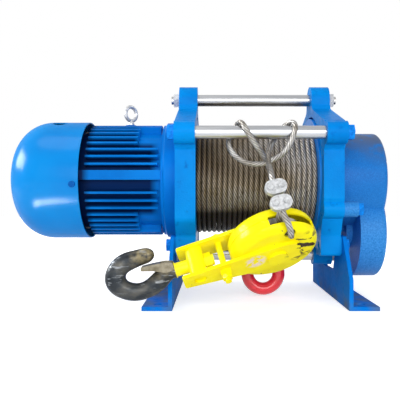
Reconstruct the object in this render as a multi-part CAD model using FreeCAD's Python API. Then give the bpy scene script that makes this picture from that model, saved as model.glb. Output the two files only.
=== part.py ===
import FreeCAD, Part
import math
import os

from FreeCAD import Vector

# Electric winch: a finned motor drives a shaft through the rope drum to a two-stage gear case,
# which turns the drum. Two cast end plates, four tie rods and two angle feet carry it all.
# Millimetres. X runs along the drum from motor to gears, Y to the back, Z up from the floor.
# The origin is the centre of the foot bolt pattern, on the floor.

# Driving dimensions: frame
axis_z = 197.0
frame_inner = 193.0
plate_thick = 31.0
plate_disc_r = 112.0
plate_front_y = 122.0
neck_half = 24.0
neck_z = 120.0
shoulder_y = 128.0
shoulder_top_z = 84.0
shoulder_low_z = 48.0
pocket_r = 108.0
pocket_depth = 10.0
foot_pad_proud = 2.5
rod_r = 10.0
rod_spigot_r = 7.0
rod_spigot_len = 24.0
rod_nut_across = 21.0
rod_nut_thick = 10.0
rod_washer_thick = 2.0
top_rod_z = 138.0
side_rod_y = 133.0
side_rod_z = 66.0
bottom_rod_y = -26.0
bottom_rod_z = -125.0
boss_r = 17.0
top_boss_r = 23.0
foot_half_len = 139.5
foot_thick = 6.0
foot_flange = 45.0
foot_end_height = 46.0
foot_leg_height = 107.0
foot_bolt_y = 80.0
foot_bolt_drop = 15.0
foot_bolt_r = 6.0
foot_bolt_reach = 21.0
foot_bolt_across = 18.0
foot_bolt_head = 7.5
foot_pad_half = 16.0
foot_leg_half = 18.0
floor_hole_r = 7.0
floor_hole_y = 118.0
floor_hole_out = 23.0

# Driving dimensions: drum and rope
rope_d = 8.0
drum_core_r = 72.5
drum_wall = 8.0
wound_r = 89.5
wrap_count = 23
wrap_crown = 3.2
flange_r = 105.0
flange_thick = 8.0
drum_left_x = -97.0
drum_right_x = 94.0
hub_r = 34.0
hub_bore_r = 22.0
hub_bearing_r = 52.0
hub_bearing_len = 19.0
run_gap = 0.05

# Driving dimensions: motor
cowl_r = 99.0
cowl_wall = 2.0
cowl_rim_x = -279.0
cowl_corner_r = 62.0
cowl_crown = 3.0
cowl_nose_gap = 39.0
cowl_hole_r = 12.0
cowl_hole_x = -326.0
cowl_hole_deg = 73.0
cowl_slot_count = 10
cowl_screw_count = 3
cowl_screw_deg = -5.4
cowl_screw_r = 2.5
cowl_screw_head_r = 5.0
cowl_screw_head = 3.2
fin_gap = 5.0
fin_height = 13.0
fin_thick = 3.4
fin_pitch_deg = 8.0
fin_first_deg = 14.0
fin_rear_x = -271.0
frame_rear_x = -285.0
frame_front_x = -152.0
frame_wall = 6.0
short_fin_x = -190.0
long_fin_x = -157.0
side_pad_height = 15.0
side_pad_gap = 3.0
side_pad_rise = 5.0
shield_gap = 1.0
shield_step = 4.0
rear_shield_thick = 12.0
eye_bolt_x = -212.0
eye_bolt_ring_r = 12.0
eye_bolt_bar_r = 3.2
eye_bolt_turn_deg = 50.0
eye_bolt_collar_r = 6.0
eye_bolt_collar = 3.0
eye_bolt_neck = 7.0
eye_bolt_rise = 20.0
lift_boss_r = 9.0
shaft_r = 14.0
shaft_tail = 6.0
motor_bearing_r = 31.0
stator_wall = 20.0
rotor_gap = 0.6
stator_len = 84.0
stator_mid_x = -218.0
winding_len = 15.0
winding_inset = 3.0
fan_r = 84.0
fan_len = 24.0
fan_hub_r = 24.0
fan_disc_r = 52.0
fan_blades = 8
fan_gap = 7.5
brake_r = 58.0
brake_post_r = 67.0
brake_plate = 6.0
magnet_len = 24.0
magnet_flange = 8.0
air_gap = 0.3
armature_travel = 0.5
terminal_length = 84.0
terminal_mid_x = -220.0
terminal_half_height = 34.0
terminal_depth = 40.0
terminal_wall = 4.0
lid_thick = 5.0
lid_edge = 2.0
gland_r = 8.0
gland_bore_r = 5.0
gland_len = 14.0

# Driving dimensions: gear case
gear_module = 2.0
motor_pinion_teeth = 24
layshaft_gear_teeth = 64
layshaft_pinion_teeth = 20
drum_gear_teeth = 68
tooth_tip = 0.92
drum_gear_wide = 12.5
layshaft_gear_wide = 11.0
gear_gap = 1.5
gear_step = 3.5
case_clear = 1.16
case_wall = 9.0
housing_end_x = 173.0
gasket_thick = 1.0
cover_end_x = 208.0
cover_end_wall = 5.0
case_boss_proud = 6.0
layshaft_r = 12.0
case_bearing_r = 20.0
waist_lug_r = 14.0
waist_boss_r = 12.0
waist_boss_y = 110.0
waist_boss_z = -48.0
waist_boss_len = 22.0
waist_ear_thick = 12.0
waist_bolt_r = 5.0
waist_bolt_reach = 20.0
waist_bolt_across = 18.0
waist_bolt_head = 8.0
case_flange = 8.0
cover_rim_r = 6.0
cover_screw_r = 2.0
cover_screw_head_r = 3.4
cover_screw_sunk = 4.5
oil_plug_r = 5.0
oil_plug_y = 24.0

# Driving dimensions: hook block, in its own frame (along, across, through the sheave axis)
block_x = 15.3
block_y = -151.2
block_z = 101.7
block_through = Vector(0.24, -0.58, -0.778)
block_rise = Vector(0.962, 0.035, 0.270)
guard_r = 64.0
guard_depth = 20.5
guard_wall = 3.0
guard_corner_r = 13.0
guard_gap = 1.0
slot_near = 9.5
slot_far = 3.5
slot_start_deg = 20.0
slot_span_deg = 73.0
sheave_r = 47.0
sheave_half = 10.0
sheave_hub_r = 22.0
sheave_hub_proud = 3.0
sheave_rim_depth = 11.0
sheave_web_inset = 3.0
sheave_pin_r = 11.0
pin_head_r = 15.0
pin_head = 4.0
strap_thick = 5.0
strap_end_half = 15.0
strap_pin_half = 28.0
strap_end_a = -137.0
strap_tip_a = 34.0
crosshead_a = -113.0
crosshead_r = 15.0
crosshead_len = 24.0
trunnion_r = 9.0
trunnion_sunk = 3.5
strap_bolt_a = -76.0
strap_bolt_b = 4.0
strap_bolt_r = 4.5
strap_bolt_tail = 18.0
strap_nut_across = 15.0
strap_nut_thick = 7.0
lock_nut_across = 13.5
lock_nut_thick = 6.0
shank_r = 8.0
hook_collar_r = 10.0
hook_neck_gap = 19.0
hook_nut_r = 12.0
hook_nut_len = 10.0
hook_size = 100.0
hook_flatness = 0.8
part_gap = 0.3
becket_inset = 13.6
becket_deg = 66.0
becket_hole_r = 8.0
latch_width = 27.0
latch_sheet = 1.6
latch_pin_r = 3.0
latch_pin_proud = 1.2

# Driving dimensions: anchor eye and rope tail
eye_ring_r = 26.0
eye_bar_r = 10.5
eye_hub_r = 16.0
eye_hub_len = 46.0
eye_x = 14.0
clip_length = 30.0
clip_height = 20.0
clip_thick = 9.0
clip_rod_r = 2.5
clip_strand_off = 4.3
clip_leg_off = 7.4
clip_saddle_back = 6.0
clip_leg_out = 4.5
clip_groove_gap = 0.5
eye_drop = 6.0

# Places worked out from the driving dimensions
plate_in = frame_inner / 2
plate_out = plate_in + plate_thick
web_in = plate_out + foot_pad_proud
foot_bolt_z = foot_leg_height - foot_bolt_drop
block_centre = Vector(block_x, block_y, block_z)
fin_tip_r = cowl_r - fin_gap
fin_root_r = fin_tip_r - fin_height
side_pad_r = cowl_r - side_pad_gap
shield_r = cowl_r - shield_gap
stator_r = fin_root_r - frame_wall
stator_bore_r = stator_r - stator_wall
rear_out_x = frame_rear_x - rear_shield_thick
disc_x = rear_out_x - air_gap
armature_x = disc_x - brake_plate - air_gap
magnet_x = armature_x - brake_plate - armature_travel - air_gap
fan_x = magnet_x - magnet_len - fan_gap - fan_len
shaft_rear_x = fan_x - shaft_tail
cowl_end_x = fan_x - cowl_nose_gap
upper_in = gear_module * (drum_gear_teeth / 2 + tooth_tip) + case_clear
lower_in = gear_module * (layshaft_gear_teeth / 2 + tooth_tip) + case_clear
upper_lobe_r = upper_in + case_wall
lower_lobe_r = lower_in + case_wall
layshaft_drop = gear_module * (motor_pinion_teeth + layshaft_gear_teeth) / 2
lay_z = axis_z - layshaft_drop
rod_places = {
    "top": (0.0, top_rod_z),
    "front": (-side_rod_y, side_rod_z),
    "back": (side_rod_y, side_rod_z),
    "bottom": (bottom_rod_y, bottom_rod_z),
}

os.makedirs("parts", exist_ok=True)


def save(name, shape):
    """Write one node."""
    shape.exportStep("parts/" + name + ".step")


def cyl_x(radius, x0, x1, y=0.0, z=axis_z):
    """A cylinder along X."""
    return Part.makeCylinder(radius, x1 - x0, Vector(x0, y, z), Vector(1, 0, 0))


def ring_x(outer, inner, x0, x1, y=0.0, z=axis_z):
    """A plain ring along X."""
    return cyl_x(outer, x0, x1, y, z).cut(cyl_x(inner, x0, x1, y, z))


def box(x0, x1, y0, y1, z0, z1):
    """A box between two corners."""
    return Part.makeBox(x1 - x0, y1 - y0, z1 - z0, Vector(x0, y0, z0))


def bend(before, corner, after, reach):
    """The start, middle and end of an arc that rounds a corner, and its radius."""
    back = (before - corner).normalize()
    ahead = (after - corner).normalize()
    half = back.getAngle(ahead) / 2
    radius = reach * math.tan(half)
    middle = corner + (back + ahead).normalize() * (radius / math.sin(half) - radius)
    return corner + back * reach, middle, corner + ahead * reach, radius


def corner_face(points, radii):
    """A flat face on a closed outline, with each corner rounded by its own radius."""
    count = len(points)
    bends = []
    for i in range(count):
        before = points[i - 1]
        after = points[(i + 1) % count]
        half = (before - points[i]).getAngle(after - points[i]) / 2
        bends.append(bend(before, points[i], after, radii[i] / math.tan(half)))
    edges = []
    for i in range(count):
        start, middle, end, radius = bends[i]
        if radius > 0:
            edges.append(Part.Arc(start, middle, end).toShape())
        edges.append(Part.LineSegment(end, bends[(i + 1) % count][0]).toShape())
    return Part.Face(Part.Wire(edges))


def prism_x(outline, radii, x0, x1):
    """An outline of (y, z above the axis) points, drawn out along X."""
    points = [Vector(x0, y, axis_z + z) for y, z in outline]
    return corner_face(points, radii).extrude(Vector(x1 - x0, 0, 0))


def turned(profile):
    """A profile of (x, r) points turned about the drum axis."""
    points = [Vector(x, 0, axis_z + r) for x, r in profile]
    wire = Part.makePolygon(points + points[:1])
    return Part.Face(wire).revolve(Vector(0, 0, axis_z), Vector(1, 0, 0), 360)


def hex_x(across, x0, x1, y, z):
    """A hexagonal prism along X, with a flat upwards."""
    radius = across / math.sqrt(3)
    points = []
    for i in range(7):
        angle = math.radians(60 * i)
        points.append(Vector(x0, y + radius * math.cos(angle), z + radius * math.sin(angle)))
    return Part.Face(Part.makePolygon(points)).extrude(Vector(x1 - x0, 0, 0))


def mirror_x(shape):
    """The same piece at the other end of the drum."""
    return shape.mirror(Vector(0, 0, 0), Vector(1, 0, 0))


# End plates: a disc round the drum flange, arms to the tie rods, pads for the feet
def end_plate(waist_lugs):
    """A gear side plate, with its pocket for the drum flange and its bearing bore."""
    plate = cyl_x(plate_disc_r, plate_in, plate_out)
    pad_out = foot_bolt_y + foot_leg_half
    pad_in = foot_bolt_y - foot_leg_half
    pad_low = foot_bolt_z - axis_z - foot_pad_half
    pad_top = foot_bolt_z - axis_z + foot_pad_half
    arm = [(-neck_half, top_rod_z), (-neck_half, neck_z), (-shoulder_y, shoulder_top_z),
           (-shoulder_y, shoulder_low_z), (-plate_front_y, shoulder_low_z - shoulder_y + plate_front_y)]
    radii = [0, 12, 8, 4, 4]
    if waist_lugs:
        arm += [(-plate_front_y, waist_boss_z + 16), (-waist_boss_y, waist_boss_z - 16)]
        radii += [6, 8]
    else:
        arm += [(-plate_front_y, pad_top - pad_out + plate_front_y)]
        radii += [12]
    arm += [(-pad_out, pad_top), (-pad_out, pad_low), (-pad_in, pad_low), (-pad_in + 10, pad_top - 6)]
    radii += [8, 5, 5, 8]
    outline = arm + [(-y, z) for y, z in reversed(arm)]
    plate = plate.fuse(prism_x(outline, radii + radii[::-1], plate_in, plate_out))
    bosses = [(y, z, top_boss_r if name == "top" else boss_r) for name, (y, z) in rod_places.items()]
    if waist_lugs:
        bosses += [(side * waist_boss_y, waist_boss_z, waist_lug_r) for side in (-1, 1)]
    for y, z, radius in bosses:
        plate = plate.fuse(cyl_x(radius, plate_in, plate_out, y, axis_z + z))
    pads = prism_x(arm_pad(-1), [4, 4, 4, 4], plate_out, web_in)
    pads = pads.fuse(prism_x(arm_pad(1), [4, 4, 4, 4], plate_out, web_in))
    plate = plate.fuse(pads).removeSplitter()
    plate = plate.cut(cyl_x(pocket_r, plate_in, plate_in + pocket_depth))
    plate = plate.cut(cyl_x(hub_bearing_r, plate_in, plate_out))
    for y, z in rod_places.values():
        plate = plate.cut(cyl_x(rod_spigot_r, plate_in, plate_out, y, axis_z + z))
    for side in (-1, 1):
        plate = plate.cut(cyl_x(foot_bolt_r, plate_in, web_in, side * foot_bolt_y, foot_bolt_z))
        if waist_lugs:
            start_x = plate_out - waist_bolt_reach
            place = (side * waist_boss_y, axis_z + waist_boss_z)
            plate = plate.cut(cyl_x(waist_bolt_r, start_x, plate_out, *place))
    return plate


def arm_pad(side):
    """The machined pad that a foot leg bolts to."""
    low = foot_bolt_z - axis_z - foot_pad_half + 2
    high = foot_bolt_z - axis_z + foot_pad_half - 2
    near = side * (foot_bolt_y - foot_pad_half)
    far = side * (foot_bolt_y + foot_pad_half)
    points = [(near, low), (far, low), (far, high), (near, high)]
    return points if side > 0 else points[::-1]


save("gear_end_plate", end_plate(True))
save("motor_end_plate", mirror_x(end_plate(False)))

# Tie rods: round bars shouldered against the plates, threaded spigots through the lugs
for name, (y, z) in rod_places.items():
    rod = cyl_x(rod_r, -plate_in, plate_in, y, axis_z + z)
    tail = rod_spigot_len + plate_thick - rod_nut_thick
    if name in ("front", "back"):
        tail = plate_thick
    rod = rod.fuse(cyl_x(rod_spigot_r, -plate_in - tail, plate_in + tail, y, axis_z + z))
    save(name + "_tie_rod", rod.removeSplitter())

nuts = []
bolts = []
for name, (y, z) in rod_places.items():
    for side in (-1, 1):
        if name in ("front", "back"):
            head = hex_x(rod_nut_across, plate_out, plate_out + rod_nut_thick, y, axis_z + z)
            washer = cyl_x(rod_nut_across / 2 + 2, plate_out, plate_out + rod_washer_thick, y, axis_z + z)
            piece = head.fuse(washer).removeSplitter()
            bolts.append(piece if side > 0 else mirror_x(piece))
        else:
            nut = hex_x(rod_nut_across, plate_out, plate_out + rod_nut_thick, y, axis_z + z)
            nut = nut.cut(cyl_x(rod_spigot_r, plate_out, plate_out + rod_nut_thick, y, axis_z + z))
            nuts.append(nut if side > 0 else mirror_x(nut))
save("tie_rod_nuts", Part.makeCompound(nuts))
save("tie_rod_bolts", Part.makeCompound(bolts))


# Feet: bent plates, a flange on the floor and a web with two legs up to the end plate
def foot():
    """The gear side foot."""
    web_out = web_in + foot_thick
    leg_in = foot_bolt_y - foot_leg_half
    clip_leg_out = foot_bolt_y + foot_leg_half
    half = [(-foot_half_len, 0), (-foot_half_len, foot_end_height), (-clip_leg_out, foot_leg_height),
            (-leg_in, foot_leg_height), (-34, foot_end_height)]
    outline = [(y, z - axis_z) for y, z in half]
    outline += [(-y, z) for y, z in reversed(outline)]
    web = prism_x(outline, [0, 4, 5, 5, 8, 8, 5, 5, 4, 0], web_in, web_out)
    flange = box(web_in, web_in + foot_flange, -foot_half_len, foot_half_len, 0, foot_thick)
    shape = web.fuse(flange).removeSplitter()
    for y in (-foot_bolt_y, foot_bolt_y):
        shape = shape.cut(cyl_x(foot_bolt_r, web_in, web_out, y, foot_bolt_z))
    for y in (-floor_hole_y, floor_hole_y):
        hole = Part.makeCylinder(floor_hole_r, foot_thick, Vector(web_in + floor_hole_out, y, 0))
        shape = shape.cut(hole)
    return shape


save("gear_side_foot", foot())
save("motor_side_foot", mirror_x(foot()))

foot_bolts = []
for y in (-foot_bolt_y, foot_bolt_y):
    web_out = web_in + foot_thick
    bolt = cyl_x(foot_bolt_r, plate_out - foot_bolt_reach, web_out, y, foot_bolt_z)
    head = hex_x(foot_bolt_across, web_out, web_out + foot_bolt_head, y, foot_bolt_z)
    bolt = bolt.fuse(head).removeSplitter()
    foot_bolts += [bolt, mirror_x(bolt)]
save("foot_bolts", Part.makeCompound(foot_bolts))


# Motor frame: a cast tube with radial fins, flat side pads and a lifting boss
def about_axis(shape, degrees):
    """The shape turned about the drum axis, counted from the front towards the top."""
    copy = shape.copy()
    copy.rotate(Vector(0, 0, axis_z), Vector(1, 0, 0), -degrees)
    return copy


fins = []
fin_count = int((90.0 - fin_first_deg) / fin_pitch_deg) + 1
for quadrant in range(4):
    for k in range(fin_count):
        end_x = short_fin_x if 3 <= k <= 6 else long_fin_x
        fin = box(fin_rear_x, end_x, -fin_tip_r, -fin_root_r + 2.0,
                  axis_z - fin_thick / 2, axis_z + fin_thick / 2)
        angle = fin_first_deg + fin_pitch_deg * k
        turn = angle if quadrant in (0, 2) else -angle
        fins.append(about_axis(fin, turn + (180 if quadrant >= 2 else 0)))
frame_tube = cyl_x(fin_root_r, frame_rear_x, frame_front_x)
pad_z = axis_z + side_pad_rise
side_pad = box(frame_rear_x + 4.0, frame_front_x, -side_pad_r, -stator_r,
               pad_z - side_pad_height / 2, pad_z + side_pad_height / 2)
side_pads = [side_pad, side_pad.mirror(Vector(0, 0, axis_z), Vector(0, 1, 0))]
lift_top = axis_z + fin_tip_r + 1.0
lift_low = axis_z + stator_r
lift_boss = Part.makeCylinder(lift_boss_r, lift_top - lift_low, Vector(eye_bolt_x, 0, lift_low))
motor_frame = frame_tube.multiFuse(fins + side_pads + [lift_boss]).removeSplitter()
motor_frame = motor_frame.cut(cyl_x(stator_r, frame_rear_x, frame_front_x))
save("motor_frame", motor_frame)

# Eye bolt: a ring on a collar, screwed into the lifting boss
eye_mid_z = lift_top + eye_bolt_rise
eye_ring = Part.makeTorus(eye_bolt_ring_r, eye_bolt_bar_r, Vector(0, 0, 0), Vector(0, 1, 0))
eye_ring.rotate(Vector(0, 0, 0), Vector(0, 0, 1), eye_bolt_turn_deg)
eye_ring.translate(Vector(eye_bolt_x, 0, eye_mid_z))
eye_collar = Part.makeCylinder(eye_bolt_collar_r, eye_bolt_collar, Vector(eye_bolt_x, 0, lift_top))
eye_neck = Part.makeCone(eye_bolt_collar_r - 1, eye_bolt_bar_r + 0.2, eye_bolt_neck,
                         Vector(eye_bolt_x, 0, lift_top + eye_bolt_collar))
save("motor_eye_bolt", eye_ring.multiFuse([eye_collar, eye_neck]).removeSplitter())

# End shields: the front one is also the flange that meets the end plate
shield_face_x = -plate_out
front_profile = [
    (frame_front_x, motor_bearing_r), (frame_front_x, shield_r - shield_step),
    (frame_front_x + 3, shield_r - shield_step), (frame_front_x + 6, shield_r),
    (shield_face_x, shield_r), (shield_face_x, motor_bearing_r),
]
save("motor_end_shield", turned(front_profile))

screw_x = (frame_rear_x + rear_out_x) / 2 + 3.0
screw_angles = [cowl_screw_deg + 360 / cowl_screw_count * i for i in range(cowl_screw_count)]
cowl_in_r = cowl_r - cowl_wall
rear = ring_x(stator_r + 8.0, motor_bearing_r, rear_out_x, frame_rear_x)
for angle in screw_angles:
    lug = Part.makeCylinder(7.0, cowl_r - stator_r, Vector(screw_x, -stator_r, axis_z), Vector(0, -1, 0))
    lug = lug.common(cyl_x(cowl_in_r, rear_out_x, frame_rear_x))
    rear = rear.fuse(about_axis(lug, angle))
save("rear_end_shield", rear.removeSplitter())

front_bearing_x = (frame_front_x + 2.0, shield_face_x - 4.0)
save("motor_front_bearing", ring_x(motor_bearing_r, shaft_r + run_gap, *front_bearing_x))
rear_bearing_x = (rear_out_x + 1.0, frame_rear_x - 1.0)
save("motor_rear_bearing", ring_x(motor_bearing_r, shaft_r + run_gap, *rear_bearing_x))

# Stator: laminated core with a ring of winding at each end
stator_x0 = stator_mid_x - stator_len / 2
stator_x1 = stator_mid_x + stator_len / 2
save("stator_core", ring_x(stator_r, stator_bore_r, stator_x0, stator_x1))
winding_radii = (stator_r - winding_inset, stator_bore_r + winding_inset)
winding = [ring_x(*winding_radii, stator_x0 - winding_len, stator_x0),
           ring_x(*winding_radii, stator_x1, stator_x1 + winding_len)]
save("stator_winding", Part.makeCompound(winding))


# Fan cowl: a pressed cup with a large rounded end and air slots round its centre
def cowl_solid(radius, end_x, corner):
    """A solid cup shape, from the rim to a softly crowned end."""
    top = Vector(cowl_rim_x, 0, axis_z + radius)
    shoulder = Vector(end_x + corner + cowl_crown, 0, axis_z + radius)
    low = Vector(end_x + cowl_crown, 0, axis_z + radius - corner)
    middle = Vector(shoulder.x, 0, low.z) + Vector(-1, 0, 1).normalize() * corner
    nose = Vector(end_x, 0, axis_z)
    edges = [Part.LineSegment(Vector(cowl_rim_x, 0, axis_z), top), Part.LineSegment(top, shoulder),
             Part.Arc(shoulder, middle, low), Part.LineSegment(low, nose),
             Part.LineSegment(nose, Vector(cowl_rim_x, 0, axis_z))]
    face = Part.Face(Part.Wire([edge.toShape() for edge in edges]))
    return face.revolve(Vector(0, 0, axis_z), Vector(1, 0, 0), 360)


cowl = cowl_solid(cowl_r, cowl_end_x, cowl_corner_r)
cowl = cowl.cut(cowl_solid(cowl_in_r, cowl_end_x + cowl_wall, cowl_corner_r - cowl_wall))
for i in range(cowl_slot_count):
    slot = box(cowl_end_x - 4.0, cowl_end_x + 14.0, -38.0, -14.0, axis_z - 2.5, axis_z + 2.5)
    cowl = cowl.cut(about_axis(slot, 360 / cowl_slot_count * i))
air_hole = Part.makeCylinder(cowl_hole_r, cowl_r, Vector(cowl_hole_x, -fan_hub_r, axis_z), Vector(0, -1, 0))
cowl = cowl.cut(about_axis(air_hole, cowl_hole_deg))
screws = []
for angle in screw_angles:
    head_base = Vector(screw_x, -cowl_r, axis_z)
    head = Part.makeCylinder(cowl_screw_head_r, cowl_screw_head, head_base, Vector(0, -1, 0))
    shank_base = Vector(screw_x, -stator_r, axis_z)
    shank_len = cowl_r + 0.2 - stator_r
    shank = Part.makeCylinder(cowl_screw_r, shank_len, shank_base, Vector(0, -1, 0))
    shank = shank.cut(cyl_x(cowl_in_r, rear_out_x, frame_rear_x))
    cowl = cowl.cut(about_axis(shank, angle))
    screws.append(about_axis(head.fuse(shank).removeSplitter(), angle))
save("fan_cowl", cowl)
save("cowl_screws", Part.makeCompound(screws))

# Disc brake behind the rear shield: magnet on three posts, armature, friction disc on the shaft
brake_bore_r = shaft_r + 5.0
save("brake_disc", ring_x(brake_r - 3, shaft_r, disc_x - brake_plate, disc_x))
save("brake_armature", ring_x(brake_r, brake_bore_r, armature_x - brake_plate, armature_x))
magnet = ring_x(brake_r, brake_bore_r, magnet_x - magnet_len, magnet_x)
magnet = magnet.fuse(ring_x(brake_post_r + 6.0, brake_bore_r, magnet_x - magnet_flange, magnet_x))
for angle in (30, 150, 270):
    post = cyl_x(4.0, magnet_x, rear_out_x, -brake_post_r, axis_z)
    magnet = magnet.fuse(about_axis(post, angle))
save("brake_magnet", magnet.removeSplitter())

# Terminal box on the back of the motor, with its lid and a bare cable gland below
term_x0 = terminal_mid_x - terminal_length / 2
term_x1 = terminal_mid_x + terminal_length / 2
term_y1 = side_pad_r + terminal_depth
term_z0 = pad_z - terminal_half_height
term_z1 = pad_z + terminal_half_height
term = box(term_x0, term_x1, side_pad_r, term_y1, term_z0, term_z1)
term = term.cut(box(term_x0 + terminal_wall, term_x1 - terminal_wall, side_pad_r + terminal_wall, term_y1,
                    term_z0 + terminal_wall, term_z1 - terminal_wall))
gland_y = side_pad_r + terminal_depth / 2
term = term.cut(Part.makeCylinder(gland_r, terminal_wall, Vector(terminal_mid_x, gland_y, term_z0)))
save("terminal_box", term)
lid = box(term_x0 - lid_edge, term_x1 + lid_edge, term_y1, term_y1 + lid_thick,
          term_z0 - lid_edge, term_z1 + lid_edge)
lid = lid.makeFillet(4.0, [e for e in lid.Edges if abs(e.tangentAt(e.FirstParameter).y) > 0.9])
save("terminal_lid", lid)
gland_low = Vector(terminal_mid_x, gland_y, term_z0 - gland_len)
gland = Part.makeCylinder(gland_r, gland_len + terminal_wall, gland_low)
gland = gland.fuse(Part.makeCone(gland_r + 1, gland_r + 3.5, gland_len, gland_low))
gland = gland.cut(Part.makeCylinder(gland_bore_r, gland_len + terminal_wall, gland_low))
save("cable_gland", gland.removeSplitter())

# Drum: a hollow casting with two flanges, running on its hubs in the end plates
gear_seat_r = hub_r - 4.0
drum_gear_x = (housing_end_x + gear_gap, housing_end_x + gear_gap + drum_gear_wide)
lay_gear_x = (drum_gear_x[1] + gear_step, drum_gear_x[1] + gear_step + layshaft_gear_wide)
hub_left_x = -plate_out + 1.5
shell_r = drum_core_r - drum_wall
drum_profile = [
    (hub_left_x, hub_bore_r), (hub_left_x, hub_r),
    (drum_left_x - flange_thick, hub_r), (drum_left_x - flange_thick, flange_r),
    (drum_left_x, flange_r), (drum_left_x, drum_core_r),
    (drum_right_x, drum_core_r), (drum_right_x, flange_r),
    (drum_right_x + flange_thick, flange_r), (drum_right_x + flange_thick, hub_r),
    (drum_gear_x[0], hub_r), (drum_gear_x[0], gear_seat_r),
    (drum_gear_x[1], gear_seat_r), (drum_gear_x[1], hub_bore_r),
    (drum_right_x - drum_wall, hub_bore_r), (drum_right_x - drum_wall, shell_r),
    (drum_left_x + drum_wall, shell_r), (drum_left_x + drum_wall, hub_bore_r),
]
save("drum", turned(drum_profile))

# Wound rope: the outer shape of the turns, a half-round ridge for each turn
wrap_pitch = (drum_right_x - drum_left_x) / wrap_count
valley_r = wound_r - wrap_crown
low_left = Vector(drum_left_x, 0, axis_z + drum_core_r)
low_right = Vector(drum_right_x, 0, axis_z + drum_core_r)
high_left = Vector(drum_left_x, 0, axis_z + valley_r)
high_right = Vector(drum_right_x, 0, axis_z + valley_r)
wound_edges = [Part.LineSegment(high_right, low_right), Part.LineSegment(low_right, low_left),
               Part.LineSegment(low_left, high_left)]
for i in range(wrap_count):
    left = high_left + Vector(wrap_pitch * i, 0, 0)
    crest = left + Vector(wrap_pitch / 2, 0, wrap_crown)
    wound_edges.append(Part.Arc(left, crest, left + Vector(wrap_pitch, 0, 0)))
wound_face = Part.Face(Part.Wire([edge.toShape() for edge in wound_edges]))
save("wound_rope", wound_face.revolve(Vector(0, 0, axis_z), Vector(1, 0, 0), 360))

bearing_x0 = plate_in + pocket_depth + 0.5
drum_bearing = ring_x(hub_bearing_r, hub_r + run_gap, bearing_x0, bearing_x0 + hub_bearing_len)
save("drum_bearing_gear_side", drum_bearing)
save("drum_bearing_motor_side", mirror_x(drum_bearing))


# Spur gears: straight flanks at twenty degrees, with a little backlash
def spur_gear(teeth, x0, x1, z, tooth_points_down, bore_r):
    """A spur gear along X with a tooth, or a gap, centred on its lowest point."""
    pitch_r = gear_module * teeth / 2
    half = 0.215 * math.pi * gear_module
    slope = math.tan(math.radians(20))
    tip = tooth_tip * gear_module
    root = 1.25 * gear_module
    flank = [(pitch_r - root, half + root * slope), (pitch_r + tip, half - tip * slope)]
    points = []
    for i in range(teeth):
        middle = 2 * math.pi * i / teeth - math.pi / 2
        if not tooth_points_down:
            middle += math.pi + math.pi / teeth
        corners = [(flank[0], -1), (flank[1], -1), (flank[1], 1), (flank[0], 1)]
        for (radius, width), side in corners:
            angle = middle + side * width / radius
            points.append(Vector(x0, radius * math.cos(angle), z + radius * math.sin(angle)))
    blank = Part.Face(Part.makePolygon(points + points[:1])).extrude(Vector(x1 - x0, 0, 0))
    return blank.cut(cyl_x(bore_r, x0, x1, 0.0, z)) if bore_r > 0 else blank


save("drum_gear", spur_gear(drum_gear_teeth, *drum_gear_x, axis_z, True, gear_seat_r))
save("layshaft_gear", spur_gear(layshaft_gear_teeth, *lay_gear_x, lay_z, False, layshaft_r))

cavity_end_x = cover_end_x - cover_end_wall
case_bearing_x = (cavity_end_x, cover_end_x + case_boss_proud - 2.0)
lay_bearing_x = (housing_end_x - 14.0, housing_end_x - 14.0 + case_bearing_x[1] - case_bearing_x[0])
lay_rear_x = lay_bearing_x[0]
shaft_end_x = case_bearing_x[1]
layshaft = cyl_x(layshaft_r, lay_rear_x, shaft_end_x - 0.5, 0.0, lay_z)
layshaft = layshaft.fuse(spur_gear(layshaft_pinion_teeth, *drum_gear_x, lay_z, False, 0))
save("layshaft", layshaft.removeSplitter())

# Motor shaft: runs from the fan through the drum to its pinion in the gear case
motor_shaft = cyl_x(shaft_r, shaft_rear_x, lay_gear_x[0])
motor_shaft = motor_shaft.fuse(spur_gear(motor_pinion_teeth, *lay_gear_x, axis_z, True, 0))
motor_shaft = motor_shaft.fuse(cyl_x(layshaft_r, lay_gear_x[1], shaft_end_x - 0.5))
save("motor_shaft", motor_shaft.removeSplitter())
save("rotor", ring_x(stator_bore_r - rotor_gap, shaft_r, stator_x0, stator_x1))

fan = ring_x(fan_hub_r, shaft_r, fan_x, fan_x + fan_len)
fan = fan.fuse(ring_x(fan_disc_r, shaft_r, fan_x + fan_len - 6, fan_x + fan_len - 2))
blades = []
for i in range(fan_blades):
    blade = box(fan_x + 2.0, fan_x + fan_len - 2.0, -fan_r, -fan_hub_r + 2.0, axis_z - 1.5, axis_z + 1.5)
    blade = blade.common(cyl_x(fan_r, fan_x, fan_x + fan_len))
    blades.append(about_axis(blade, 360 / fan_blades * i))
save("cooling_fan", fan.multiFuse(blades).removeSplitter())


# Gear case: housing on the end plate, gasket and a two-lobed cover
def two_lobes(upper, lower, x0, x1):
    """Two overlapping cylinders, on the drum axis and on the layshaft."""
    return cyl_x(upper, x0, x1).fuse(cyl_x(lower, x0, x1, 0.0, lay_z)).removeSplitter()


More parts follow.
